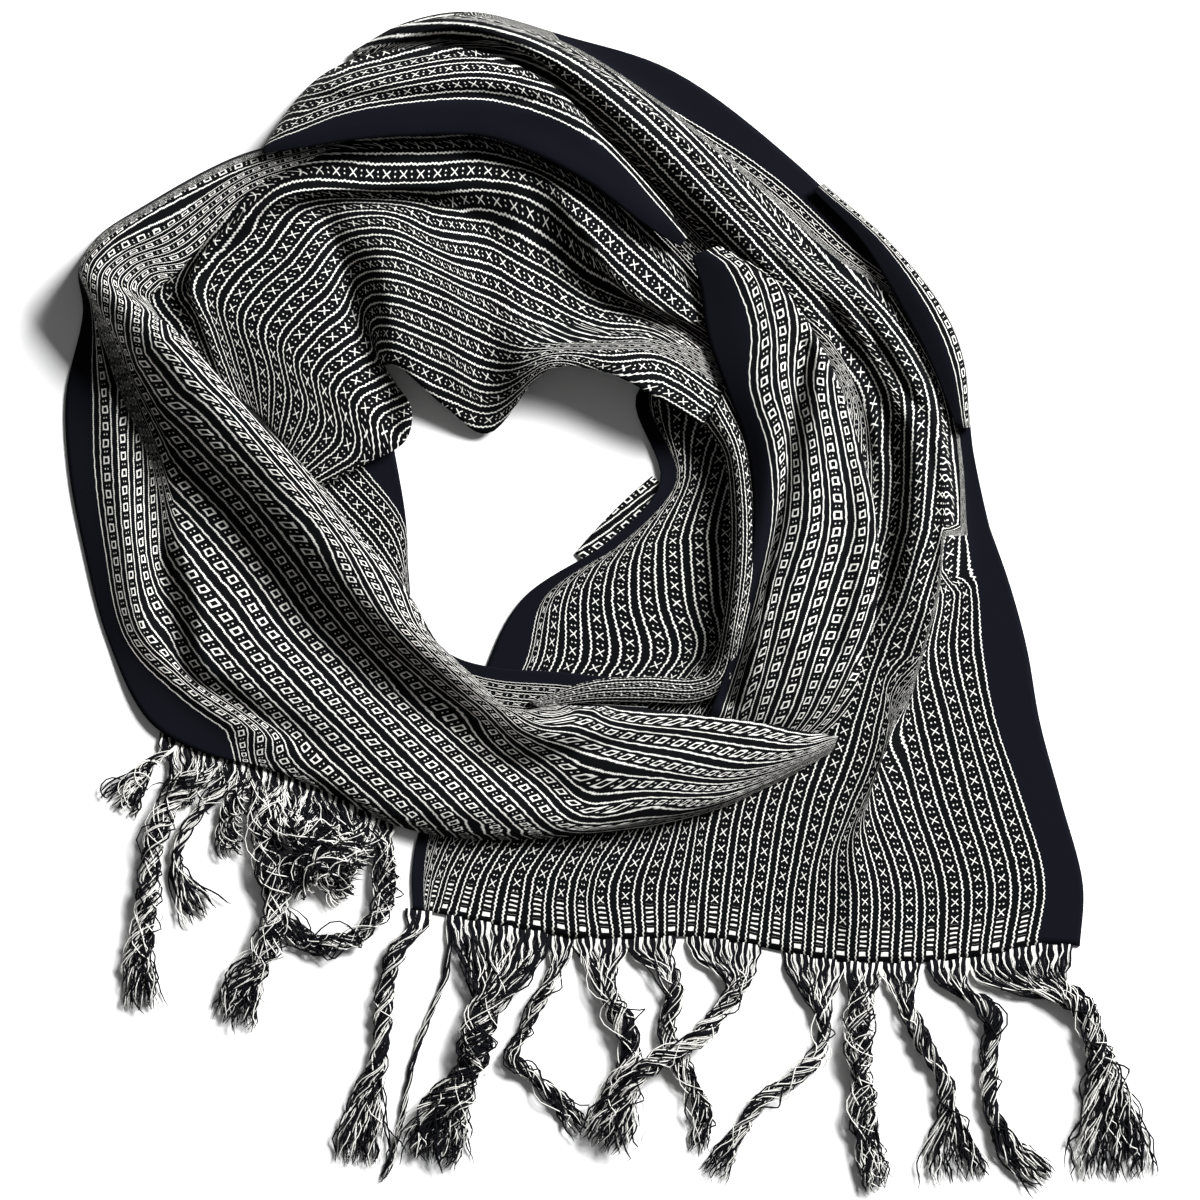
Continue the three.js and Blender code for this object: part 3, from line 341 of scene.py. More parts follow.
OUTER_STRETCH = {
    "fringe_edge": [[1080, 946, 0, 0], [1042, 944, 0, 21], [997, 953, 0, 46], [936, 961, 0, 84],
     [850, 962, 0, 137], [800, 955, 0, 168], [747, 944, 0, 200], [695, 937, 0, 234], [589, 938, 0, 302],
     [425.3, 911, 0, 410], [424.3, 910.9, 0, 438], [413, 909, 0, 445]],
    "hem": [[1083, 885, 0, 0], [1046, 882, 0, 23.5], [1000, 884, 0, 48.5], [938, 884, 0, 83],
     [858, 883, 3, 133], [810, 882, 2, 165], [760, 882, 0, 197], [707, 880, 0, 229.5],
     [601, 880, 1, 293], [425.2, 872.6, 0.1, 425], [424.1, 872.5, 0.1, 438], [412, 872, 0, 445]],
    "lower_panel": [[1061, 800, 0, 0], [1025, 800, 0, 22.5], [978, 800, 0, 48], [915, 802, 1, 82],
     [868, 802, 8, 112], [863, 802, 7, 137.5], [768, 803, 0, 200.5], [706, 806, 0, 238],
     [610, 812, 0, 315.5], [435.2, 821.3, 0, 437], [434, 821.4, 0, 438], [422, 822, 0, 446]],
    "middle_panel": [[1040, 722, 0, 0], [997, 722, 0, 23.5], [950, 722, 0, 52.5], [907, 724, 2, 76],
     [894, 725, 10, 84], [888, 726, 9, 138], [797, 728, 0, 199], [745, 730, 0, 235], [650, 730, 0, 325],
     [482.6, 737.4, 0, 437], [481.5, 737.5, 0, 438], [470, 738, 0, 446]],
    "upper_panel": [[1027, 648, 0, 0], [984, 652, 0, 23.5], [938, 654, 2, 50.5], [922, 656, 10, 62],
     [919, 656, 12, 139], [880, 656, 7, 163], [834, 655, 0, 190], [790, 655, 0, 216], [700, 660, 0, 338],
     [526, 664, 0, 437], [525, 664, 0, 438], [487, 665, 0, 460]],
    "shoulder_low": [[1010, 585, 0, 0], [978, 590, 0, 24], [955, 593, 3, 42.5], [938, 595, 15, 56],
     [935, 595, 18, 140], [905, 596, 16, 163], [884, 596, 3, 176], [862, 594, 1, 190],
     [760, 600, 0, 300], [545, 598.2, 0.9, 434], [544, 598.2, 0.9, 438], [523, 598, 1, 460]],
    "shoulder_tuck": [[991.8, 533.1, 0, 0], [968, 535.5, 1, 23.1], [959.5, 535.9, 3.9, 29.5],
     [945, 535.9, 16.8, 38], [940.5, 535.9, 20.7, 150.9], [911.4, 536, 19.6, 170.2],
     [891.3, 535.9, 3, 182.8], [871.1, 535.8, 4.6, 196.4], [773.6, 536.3, 0, 291],
     [611.4, 551.5, 2.3, 396.8], [610.4, 551.6, 2.3, 438], [591.2, 553.4, 2.5, 460]],
    "shoulder_mid": [[990, 528, 0, 0], [967, 530, 1, 23], [960, 530, 4, 142], [956, 530, 6, 145],
     [941, 530, 21, 152], [912, 530, 20, 171], [892, 530, 3, 183.5], [872, 530, 5, 197],
     [775, 530, 0, 290], [618, 546.9, 2.4, 393], [617, 547, 2.4, 438], [598, 549, 2.6, 460]],
    "shoulder": [[974, 455, 0, 0], [962, 453, 0, 12], [958, 453, 1, 149], [952, 452, 3, 152],
     [938, 450, 19, 159], [914, 450, 20, 172.5], [896, 452, 4, 183.5], [873, 452, 12, 197],
     [800, 455, 0, 285], [678, 479, 2.3, 367], [677, 479.2, 2.3, 438], [660, 483, 2.6, 460]],
    "shoulder_high": [[962, 372, 0, 0], [946, 375.5, 0, 36], [944, 376, 0, 138], [932, 378, 2, 159],
     [914, 382, 17, 170.5], [895, 386, 18, 182], [876, 390, 4, 194], [857, 390, 14, 203],
     [820, 391, 1, 300], [650, 395.6, 0.1, 380], [649, 395.6, 0.1, 438], [636, 396, 0, 460]],
    "turn": [[918, 287, 0, 0], [893, 295, 1, 46], [890, 296, 1, 152], [878, 300, 4, 159],
     [862, 306, 16, 170], [845, 312, 15, 181], [834, 317, 8, 188], [819, 321, 16, 195],
     [790, 326, 2, 213.5], [698.9, 340.9, 0.1, 357.2], [698.3, 341, 0.1, 358.1], [692, 342, 0, 368]],
    "top_right": [[878, 245, 0, 0], [838, 255, 1, 46], [833, 256, 1, 162], [818, 259, 3, 168.5],
     [803, 263, 12, 178.5], [797, 266, 14, 182.5], [791, 270, 17, 187], [780, 276, 17, 194.5],
     [756, 288, 2, 210.5], [689, 304.7, 0.1, 310.5], [688.6, 304.8, 0.1, 311.1], [684, 306, 0, 318]],
    "top_turn": [[796, 163, 0, 0], [761, 184, 1, 42], [757, 187, 1, 166], [749, 193, 4, 174],
     [743, 198, 14, 178.5], [737, 202, 20, 182], [723, 210, 25, 192.5], [705, 220, 16, 204],
     [692, 228, 2, 213.5], [664.1, 259.6, 0.1, 292.1], [663.9, 259.8, 0.1, 292.6], [662, 262, 0, 298]],
    "top": [[673, 71, 0, 0], [652, 96, 1, 22], [650, 99, 3, 176.5], [648, 102, 7, 179],
     [645, 106, 14, 182.5], [641, 110, 21, 186], [628, 120, 26, 194], [616, 129, 16, 204],
     [608, 135, 2, 210.5], [595, 147.1, 0.1, 223.1], [594.9, 147.2, 0.1, 223.1], [594, 148, 0, 224]],
    "top_left": [[566, 36, 0, 5], [561, 41, 3, 22], [559, 43, 6, 182.5], [557, 45, 10, 184],
     [554, 48, 15, 186], [551, 51, 20, 188], [543, 56, 23, 192.5], [537, 60, 14, 197], [533, 64, 2, 201],
     [524.6, 75.2, 0.1, 210.3], [524.6, 75.2, 0.1, 210.4], [524, 76, 0, 211]],
    "crown": [[472, 12, 2, 178], [471, 15, 6, 181], [470, 17, 9, 182], [469, 19, 12, 183.5],
     [468, 21, 15, 184.5], [467, 23, 18, 186], [464, 28, 20, 189], [461, 34, 12, 192.5],
     [459, 40, 1.5, 195], [455.3, 58.6, 0.1, 204.3], [455.3, 58.7, 0.1, 204.4], [455, 60, 0, 205]],
    "crown_left": [[405, 23, 2, 186], [405, 25, 4, 187.5], [405, 27, 6, 188.5], [405, 29, 8, 189.5],
     [406, 31, 9, 190.5], [406, 33, 10, 191.5], [407, 36, 10, 192.5], [408, 40, 7, 194],
     [409, 44, 1.5, 195.5], [409.9, 58.9, 0.1, 203.4], [409.9, 59, 0.1, 203.5], [410, 60, 0, 204]],
    "crown_end": [[352, 52, 2, 196], [353, 53, 3, 196.5], [353, 54, 4, 197], [354, 55, 5, 197.5],
     [354, 56, 5, 198], [355, 57, 5, 198.5], [356, 58, 3, 199], [357, 60, 1, 200], [358, 62, 0.5, 201],
     [361.7, 69.4, 0, 207.5], [361.7, 69.5, 0, 207.6], [362, 70, 0, 208]],
}

grid = cloth_grid(OUTER_STRETCH, 8, 8)
ridge(grid, [(834, 310), (850, 360), (866, 420), (872, 500)], -6, 6)
ridge(grid, [(874, 346), (890, 374), (906, 402)], -6, 6)
ridge(grid, [(941, 600), (931, 640), (913, 691), (894, 739), (878, 782), (864, 822), (858, 854), (854, 925)],
      3.5, 7)
ridge(grid, [(951, 600), (941, 640), (923, 691), (904, 739), (888, 782), (874, 822), (866, 854)], -4, 5)
ridge(grid, [(798, 779), (715, 817), (688, 838), (621, 870), (581, 905), (567, 932)], 3, 6)
ridge(grid, [(514, 21), (648, 115), (728, 204), (782, 268), (820, 320), (850, 380), (868, 450)], -4.5, 4)
ridge(grid, [(803, 251), (850, 300), (890, 360), (925, 420), (935, 500), (930, 600)], -4.5, 4)
ridge(grid, [(560, 60), (648, 108), (690, 150), (752, 205), (812, 262)], 2.5, 5)
outer_stretch = cloth_piece("outer_stretch_cloth", grid, OUTER_SELVEDGE, 0.0, CROSS_UP)
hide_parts("outer_stretch")

# The upper band: inner selvedge and a few stripes, from the left bend over the top.
# The same cloth, x face up, standing on the gathered layers below it.
# Its navy selvedge makes a clean dark line round the opening.

UPPER_BAND = {
    "left_end": [[263, 156, 24, 8], [265, 151, 25, 16], [267, 147, 24, 24], [268, 144, 18, 28],
     [269, 141, 8, 32]],
    "left": [[305, 150, 25, 0], [299, 135, 29, 21.5], [294, 125, 28, 34], [290, 117, 20, 40],
     [287, 112, 6, 46]],
    "upper_left": [[350, 143, 25, 0], [341, 119, 31, 21], [334, 98, 30, 49], [329, 83, 22, 65],
     [325, 74, 7, 72.5]],
    "crown": [[400, 139, 25, 0], [396, 108, 32, 21.5], [389, 82, 30, 47], [384, 64, 20, 67],
     [380, 53, 8, 73.5]],
    "top": [[482, 139, 24, 0], [480, 104, 32, 21], [478, 76, 30, 40], [476, 58, 20, 57.5],
     [475, 51, 9, 61]],
    "top_right": [[537, 158, 24, 0], [545, 114, 32, 24.5], [548, 98, 30, 34.5], [549, 90, 22, 39.5],
     [550, 85, 12, 42]],
    "right": [[588, 185, 23, 0], [602, 151, 29, 21], [604, 146, 26, 23.5], [605, 143, 22, 26.5],
     [606, 141, 16, 28.5]],
    "tip": [[646, 228, 22, 0], [659, 211, 26, 21], [661, 208, 24, 24.5], [662, 206, 21, 26],
     [663, 204, 17, 28]],
    "end": [[680, 248, 22, 0], [685, 242, 23, 19], [686, 240, 22, 22], [687, 239, 20, 23.5],
     [688, 238, 18, 25]],
}

grid = cloth_grid(UPPER_BAND, 8, 8)
ridge(grid, [(263, 156), (305, 150), (350, 143), (400, 139), (482, 139), (537, 158), (588, 185), (646, 228)],
      6, 14)
ridge(grid, [(330, 92), (400, 88), (478, 84), (560, 96)], 3, 5)
ridge(grid, [(330, 102), (400, 99), (478, 96), (550, 106)], -3.5, 4)
upper_band = cloth_piece("upper_band_cloth", grid, INNER_SELVEDGE, 1000.0, CROSS_UP)
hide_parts("upper_band")

# The turned border: outer selvedge folded over on the right shoulder.
# The selvedge curled over as the scarf was dropped, so the ring face shows beside the fold.

TURNED_BORDER = {
    "start": [[812, 190, 6, 0], [818, 187, 7, 22], [822, 185, 6, 34], [824, 184, 5, 38]],
    "upper": [[861, 242, 7, 0], [882, 244, 9, 22], [888, 243, 7, 34], [890, 242, 4, 38]],
    "middle": [[906, 318, 8, 0], [930, 314, 12, 22], [941, 310, 9, 34], [943, 308, 4, 38]],
    "lower": [[932, 368, 9, 0], [951, 364, 12, 22], [962, 362, 9, 34], [964, 361, 4, 38]],
    "end": [[956, 428, 7, 0], [963, 428, 8, 22], [968, 428, 6, 34], [970, 428, 4, 38]],
}

grid = cloth_grid(TURNED_BORDER, 6, 8)
turned_border = cloth_piece("turned_border_cloth", grid, INNER_SELVEDGE, 1000.0, RING_UP)
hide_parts("turned_border")

# The interior: the wavy stretch inside the loop, upper left, x face up.
# It rises and falls in broad soft waves, and its lower edge hangs free over the middle of the loop.

INTERIOR = {
    "under_front": [[200, 372, 1, 45.5], [216, 382, 2, 62], [232, 396, 4, 72.5], [242, 402, 4, 81],
     [252, 410, 4, 92], [266, 424, 5, 113.5], [285, 447, 6, 140.5], [318, 488, 5, 195]],
    "lower_left": [[168, 334, 1, 45.5], [192, 322, 2, 62], [205, 326, 8, 72.5], [218, 336, 7, 81],
     [232, 350, 7, 92], [266, 372, 11, 115.5], [302, 405, 13, 143.5], [368, 463, 8, 197]],
    "left": [[146, 298, 2, 45.5], [184, 288, 4, 70], [192, 287, 14, 75.5], [206, 294, 9, 82],
     [230, 312, 10, 98.5], [274, 340, 14, 128], [318, 376, 17, 162.5], [406, 441, 10, 222]],
    "left_upper": [[166, 256, 3, 45.5], [198, 254, 6, 68], [204, 258, 18, 72.5], [213, 265, 10, 78],
     [246, 285, 10, 99], [298, 315, 15, 132], [337, 348, 17, 159.5], [412, 410, 14, 208.5]],
    "upper_left": [[206, 211, 6, 60.5], [227, 221, 9, 69], [231, 230, 20, 74], [242, 240, 10, 79.5],
     [280, 258, 10, 101], [322, 285, 13, 129], [354, 323, 12, 155.5], [398, 386, 18, 195]],
    "valley": [[271, 168, 6, 66], [281, 182, 9, 75], [287, 196, 20, 82], [298, 205, 8, 90],
     [324, 223, 9, 106], [347, 257, 9, 131], [366, 308, 8, 162.5], [382, 369, 16, 199]],
    "crest": [[383, 134, 12, 51], [385, 152, 13, 62], [385, 188, 20, 79], [384, 197, 8, 86],
     [386, 216, 14, 108], [388, 256, 24, 135], [391, 305, 28, 163.5], [395, 366, 24, 199]],
    "slope": [[431, 132, 13, 51], [432, 150, 14, 61], [434, 187, 20, 79], [434, 200, 6, 84],
     [432, 237, 14, 109.5], [436, 285, 20, 143.5], [441, 345, 20, 176], [446, 408, 12, 208.5]],
    "trough": [[478, 130, 12, 51], [480, 147, 12, 60], [485, 183, 18, 78], [488, 226, 4, 97],
     [487, 290, 12, 132], [487, 335, 16, 158.5], [487, 389, 12, 188], [487, 434, 4, 217.5]],
    "rise": [[532, 148, 12, 51], [532, 165, 12, 62], [538, 180, 16, 71], [545, 255, 3, 97],
     [545, 322, 14, 135], [547, 344, 26, 147.5], [547, 357, 26, 174.5], [549, 371, 20, 202]],
    "arch": [[591, 175, 14, 51], [585, 192, 16, 61], [578, 222, 22, 76], [592, 284, 3, 94.5],
     [600, 324, 14, 120], [604, 342, 28, 135], [605, 352, 28, 168], [606, 374, 22, 185.5]],
    "right": [[657, 236, 14, 51], [640, 246, 17, 62.5], [628, 290, 22, 86], [640, 306, 4, 94.5],
     [652, 326, 12, 113.5], [657, 341, 24, 130], [660, 356, 24, 172], [662, 402, 20, 202]],
    "right_end": [[716, 300, 14, 51], [712, 315, 15, 63], [710, 330, 17, 72.5], [711, 334, 12, 75.5],
     [713, 341, 14, 81], [716, 354, 16, 93], [722, 388, 16, 168], [702, 426, 14, 202]],
}

grid = cloth_grid(INTERIOR, 8, 8)
ridge(grid, [(549, 371), (606, 374), (662, 402), (702, 426)], 12, 18)
ridge(grid, [(398, 372), (386, 400), (392, 428)], -6, 7)
ridge(grid, [(560, 350), (630, 338), (700, 340)], -4, 5)
ridge(grid, [(325, 215), (350, 290), (375, 385)], -5, 8)
ridge(grid, [(452, 215), (458, 300), (464, 380)], 3, 9)
ridge(grid, [(515, 190), (520, 260), (517, 330), (520, 400)], 3.5, 9)
interior = cloth_piece("interior_cloth", grid, INNER_SELVEDGE, 1000.0, CROSS_UP)
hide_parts("interior")

# The inner lip: the interior's lower edge, rolled narrow down the right of the loop's middle.
# The same stretch carried on, x face up, squeezed to a cord-like roll.

INNER_LIP = {
    "start": [[724.2, 389.2, 14, 171], [714.8, 408.6, 17, 190], [704.2, 427.2, 14, 208]],
    "upper": [[748, 440, 12, 171], [734, 447, 18, 190], [722, 454, 12, 208]],
    "middle": [[757, 500, 12, 171], [742, 500, 18, 190], [728, 500, 10, 208]],
    "lower": [[757, 565, 12, 171], [742, 565, 18, 190], [728, 564, 10, 208]],
    "bottom": [[744, 630, 11, 171], [733, 630, 16, 190], [721, 629, 9, 208]],
    "corner": [[730, 684, 8, 171], [720, 679, 12, 190], [708, 672, 8, 208]],
    "turn": [[698, 702, 5, 171], [696, 690, 9, 190], [692, 678, 6, 208]],
    "hem": [[644, 702, 5, 171], [645, 688, 9, 190], [646, 676, 6, 208]],
    "hem_end": [[590, 702, 5, 171], [590, 691, 8, 190], [590, 681, 6, 208]],
    "pinch": [[535, 708, 5, 171], [532, 705, 6, 190], [528, 702, 5, 208]],
}

grid = cloth_grid(INNER_LIP, 8, 8)
ridge(grid, [(714, 410), (734, 447), (742, 500), (742, 565), (733, 630)], 8, 12)
inner_lip = cloth_piece("inner_lip_cloth", grid, INNER_SELVEDGE, 1300.0, CROSS_UP)
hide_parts("inner_lip")

# The front stretch: from the left bend down and across the front, ring face up.
# Turned over at the bend, with one high ridge along the loop and a flat valley beside its selvedge.

FRONT_STRETCH = {
    "start": [[318, 134, 2, 0], [319, 135, 3, 6], [319, 136, 5, 12], [320, 137, 6, 20], [320, 138, 8, 30],
     [321, 139, 10, 42], [321, 140, 12, 58], [322, 141, 13, 79.5], [324, 145, 14, 86],
     [326, 150, 14, 100], [327, 153, 13, 108]],
    "rim": [[233, 158, 2, 0], [234, 159, 4, 6], [234, 160, 7, 14], [235, 161, 10, 24], [235, 162, 13, 36],
     [236, 163, 16, 50], [237, 164, 19, 66], [238, 166, 22, 83.5], [242, 174, 22, 93],
     [248, 185, 17, 120], [252, 192, 14, 134]],
    "pocket": [[144, 206, 2, 0], [145, 207, 5, 6], [145, 208, 9, 14], [146, 209, 13, 24],
     [146, 210, 18, 36], [147, 211, 23, 50], [148, 213, 28, 70], [150, 216, 32, 89],
     [161, 231, 30, 98], [176, 253, 20, 134], [186, 266, 15, 154]],
    "elbow": [[98, 237, 2, 0], [98.5, 237.5, 5, 6], [99, 238, 9, 14], [99.5, 238.5, 13, 24],
     [100, 239, 19, 36], [101, 240, 25, 52], [103, 242, 31, 70], [106, 245, 36, 85],
     [121, 257, 34, 105], [147, 274, 25, 153.5], [165, 285, 17, 181.5]],
    "bend": [[79, 268, 2, 0], [79.5, 268, 5, 6], [80, 268, 9, 14], [80.5, 268.5, 14, 24],
     [81, 269, 20, 38], [82, 269.5, 26, 56], [84, 270, 32, 78], [88, 271, 37, 83.5],
     [106, 276, 38, 108.5], [134, 290, 29, 151.5], [152, 301, 17, 179]],
    "below_bend": [[83, 312, 0, 0], [92, 310, 2, 24], [94, 309, 5, 32], [95, 308.5, 9, 44],
     [96, 308, 14, 58], [97, 307, 20, 74], [99, 306, 28, 100], [103, 303, 36, 106.5],
     [120, 300, 42, 123], [146, 308, 32, 147.5], [161, 318, 14, 161]],
    "upper_left": [[66, 395, 0, 0], [93, 392, 2, 22.5], [106, 388, 5, 33.5], [116, 383, 2, 40],
     [124, 378, 3, 93], [131, 373, 6, 124.5], [138, 367, 14, 135], [146, 359, 30, 142.5],
     [164, 344, 42, 155.5], [185, 340, 34, 172], [194, 348, 14, 181.5]],
    "left": [[69, 470, 0, 0], [96, 467, 3, 23.5], [122, 463, 9, 43], [152, 470, 2, 72.5],
     [163, 462, 3, 111], [173, 452, 5, 120.5], [183, 442, 11, 128.5], [197, 428, 30, 138.5],
     [222, 411, 42, 153], [248, 410, 32, 172], [256, 418, 14, 181.5]],
    "left_lower": [[84, 550, 0, 0], [105, 547, 4, 22.5], [130, 545, 11, 46], [160, 557, 2, 77],
     [184, 545, 7, 91.5], [206, 529, 8, 106], [229, 511, 8, 121], [250, 491, 26, 137],
     [280, 473, 41, 155.5], [306, 470, 31, 179], [314, 478, 14, 188.5]],
    "knee": [[108, 640, 0, 0], [125, 636, 4, 23], [144, 626, 10, 47], [166, 628, 3, 55],
     [204, 618, 14, 78], [236, 598, 12, 95], [269, 574, 6, 116.5], [294, 551, 24, 135.5],
     [323, 531, 38, 150], [353, 529, 29, 181.5], [361, 537, 13, 191]],
    "low_left": [[150, 722, 3, 0], [168, 692, 4, 19.5], [178, 678, 8, 33.5], [190, 672, 4, 53.5],
     [214, 660, 14, 68], [262, 639, 12, 93.5], [310, 620, 6, 120.5], [339, 601, 22, 139.5],
     [368, 586, 36, 161], [400, 583, 27, 188.5], [408, 591, 13, 195]],
    "lower": [[204, 753, 3, 0], [222, 733, 4, 19.5], [238, 722, 8, 32], [253, 714, 5, 62],
     [276, 701, 12, 78], [316, 684, 12, 98.5], [353, 664, 6, 121.5], [380, 645, 20, 142],
     [407, 628, 33, 170.5], [431, 634, 25, 202], [438, 642, 12, 208.5]],
    "hem": [[266, 768, 3, 46], [270, 763, 5, 50], [290, 752, 8, 64.5], [310, 743, 7, 75.5],
     [336, 730, 11, 89.5], [371, 712, 11, 110], [406, 697, 6, 133], [430, 684, 18, 146],
     [453, 671, 30, 174.5], [476, 678, 23, 208.5], [482, 686, 11, 222]],
    "hem_turn": [[325, 791, 3, 62], [328, 788, 5, 64], [336, 783, 9, 70], [353, 774, 11, 79.5],
     [377, 763, 12, 93], [413, 744, 11, 114], [449, 727, 6.5, 138], [471, 715, 15, 147.5],
     [490, 703, 26, 174.5], [510, 708, 20, 208.5], [515, 716, 11, 222]],
    "pinch": [[398, 826, 3, 75.5], [400, 824, 5, 77], [402, 821, 8, 79.5], [406, 817, 11, 81.5],
     [427, 802, 13, 96.5], [463, 777, 12, 120.5], [495, 754, 7, 145], [512, 740, 14, 161],
     [530, 722, 23, 188.5], [548, 708, 18, 222], [552, 704, 10, 229]],
    "front": [[470, 839, 3, 100], [471, 837, 5, 101], [473, 835, 7, 102.5], [475, 832, 10, 105.5],
     [484, 824, 13, 109.5], [512, 806, 13, 128.5], [539, 784, 8, 147.5], [553, 767, 13, 162.5],
     [567, 736, 21, 183], [577, 713, 17, 200.5], [580, 706, 10, 208.5]],
    "front_right": [[558, 837, 3, 130], [558.5, 836, 4, 130.5], [559, 835, 6, 132], [560, 834, 8, 133],
     [562, 832, 10, 134.5], [566, 828, 12, 138.5], [580, 815, 12, 149.5], [590, 801, 13, 159.5],
     [606, 757, 22, 177.5], [618, 717, 19, 208.5], [621, 706, 10, 217]],
    "right_low": [[640, 828, 3, 135.5], [640.3, 827, 4, 136], [640.6, 826, 5, 137], [641, 825, 7, 138],
     [642, 824, 9, 139.5], [643, 822, 11, 140.5], [646, 817, 13, 145], [652, 806, 15, 150],
     [668, 768, 22, 179.5], [687, 728, 20, 205.5], [691, 714, 11, 214]],
    "right": [[718, 809, 3, 135.5], [718.3, 808, 4, 137], [718.6, 807, 5, 139], [719, 806, 6, 141],
     [720, 804.5, 8, 145], [721, 802, 10, 149], [724, 798, 12, 154.5], [729, 789, 14, 164],
     [741, 768, 19, 187], [755, 737, 18, 205.5], [758, 722, 11, 214]],
    "right_tip": [[788, 777, 3, 140.5], [788.3, 776, 4, 142], [788.6, 775, 5, 144], [789, 774, 6, 146],
     [789.5, 773, 7, 149], [790, 772, 8, 151.5], [792, 769, 9, 159.5], [795, 765, 11, 170.5],
     [801, 755, 14, 191], [808, 741, 14, 207.5], [810, 732, 10, 215.5]],
    "tip": [[832, 752, 5, 154], [832.3, 751, 5, 157], [832.6, 750, 6, 160], [833, 749, 6, 164],
     [833.4, 748, 6, 168], [834, 747, 7, 173], [834.5, 746, 7, 178], [835, 744, 8, 185],
     [836, 741, 9, 192], [837, 738, 9, 200], [838, 736, 8, 208.5]],
}

grid = cloth_grid(FRONT_STRETCH, 6, 8)
ridge(grid, [(440, 808), (512, 806), (580, 815), (652, 806), (724, 796)], 5, 9)
ridge(grid, [(182, 543), (206, 613), (198, 645), (209, 671)], 4, 6)
ridge(grid, [(150, 470), (160, 560), (184, 640)], -4, 6)
ridge(grid, [(128, 330), (168, 400), (240, 470), (300, 530), (350, 590), (420, 650)], 2.5, 6)
ridge(grid, [(470, 690), (500, 712), (560, 716), (630, 716), (700, 712)], -3, 5)
ridge(grid, [(440, 760), (500, 770), (570, 752), (640, 742), (730, 738)], -6, 8)
front_stretch = cloth_piece("front_stretch_cloth", grid, INNER_SELVEDGE, 1000.0, RING_UP)
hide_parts("front_stretch")

# The right inner band: ring face up beside the middle of the loop, with its navy selvedge.
# It lies on the outer stretch and dips under the front.

RIGHT_INNER = {
    "tip": [[692, 258, 21, 2], [700, 254, 23, 13], [704, 252, 23, 20], [707, 251, 23, 23],
     [712, 249, 23, 27], [716, 248, 22, 30], [719, 247, 20, 33]],
    "upper": [[700, 290, 22, 0], [733, 277, 28, 23.5], [751, 274, 28, 36], [757, 274, 27, 40],
     [766, 277, 27, 44], [772, 280, 25, 48], [776, 282, 21, 50]],
    "high": [[707, 338, 23, -2], [745, 328, 29, 19.5], [769, 325, 29, 37], [776, 325, 28, 42],
     [796, 327, 27, 54.5], [809, 331, 25, 63], [814, 334, 20, 66.5]],
    "upper_middle": [[727, 393, 23, 8], [756, 389, 30, 27], [781, 386, 30, 43.5], [788, 386, 27, 49],
     [814, 386, 28, 69.5], [835, 389, 26, 84], [841, 392, 19, 87.5]],
    "middle": [[747, 450, 22, 8], [770, 448, 30, 25], [784, 447, 30, 35], [788, 447, 26, 38],
     [826, 449, 28, 70.5], [854, 451, 25, 90], [861, 454, 18, 94.5]],
    "waist": [[753, 520, 22, 6], [771, 520, 29, 22], [778, 520, 27, 31], [782, 520, 28, 34.5],
     [830, 520, 27, 69], [868, 522, 22, 91], [876, 525, 14, 97]],
    "lower_middle": [[746, 590, 22, 6], [759, 590, 28, 25], [766, 590, 27, 38], [770, 590, 28, 40],
     [822, 592, 25, 74], [870, 596, 20, 103.5], [877, 599, 13, 108]],
    "low": [[733, 648, 19, 8], [749, 650, 25, 36], [758, 651, 25, 42.5], [763, 652, 25, 45.5],
     [812, 656, 21, 80], [854, 661, 18, 109], [861, 665, 13, 113.5]],
    "hem": [[712, 706, 8, 8], [735, 708, 11, 38.5], [750, 709, 12, 49], [756, 710, 12, 53.5],
     [798, 712, 11, 82.5], [838, 712, 9, 119], [846, 714, 8, 127]],
    "under_front": [[704, 724, 3, 10], [730, 729, 3.2, 38], [746, 732, 3.4, 51], [752, 733, 3.4, 56],
     [785, 737, 3.4, 84], [812, 739, 3.4, 120], [818, 741, 3.4, 127]],
}

grid = cloth_grid(RIGHT_INNER, 8, 8)
ridge(grid, [(805, 350), (788, 457), (778, 511), (764, 564), (730, 698)], -8, 6)
ridge(grid, [(822, 360), (812, 457), (806, 540), (790, 640)], 4, 7)
ridge(grid, [(846, 420), (850, 500), (842, 590), (830, 650)], -6, 7)
right_inner = cloth_piece("right_inner_cloth", grid, INNER_SELVEDGE, 1000.0, RING_UP)
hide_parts("right_inner")

# The under layer: shows at the left and at the bottom of the loop's middle, x face up.
# The lowest turn of the cloth, flat on the table in the shade of the front.

UNDER_LAYER = {
    "start": [[392, 436, 0, 0], [358, 460, 0, 22], [318, 492, 0, 60], [274, 534, 0, 110]],
    "edge": [[406, 519, 0, 0], [404, 523, 0, 22], [372, 552, 0, 60], [325, 592, 0, 110]],
    "fold": [[409, 575, 0, 0], [408, 579, 0, 22], [405, 596, 0, 60], [362, 632, 0, 110]],
    "below": [[417, 625, 0, 0], [416, 629, 0, 22], [414, 640, 0, 60], [398, 668, 0, 110]],
    "corner": [[452, 655, 1, 0], [449, 664, 1, 22], [442, 682, 1, 60], [430, 705, 1, 110]],
    "band_left": [[492, 667, 2.4, 0], [490, 679, 2.4, 22], [486, 700, 2.4, 60], [480, 724, 2.4, 110]],
    "band": [[560, 672, 2.4, 0], [561, 685, 2.4, 22], [560, 708, 2.4, 60], [556, 734, 2.4, 110]],
    "band_right": [[650, 681, 2.2, 0], [649, 694, 2.2, 22], [647, 712, 2.2, 60], [643, 730, 2.2, 110]],
}

grid = cloth_grid(UNDER_LAYER, 6, 8)
under_layer = cloth_piece("under_layer_cloth", grid, INNER_SELVEDGE, 1000.0, CROSS_UP)
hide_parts("under_layer")

# The lower strip: a folded edge that shows below the inner selvedge right of the middle.
# Ring face up, flat on the table.

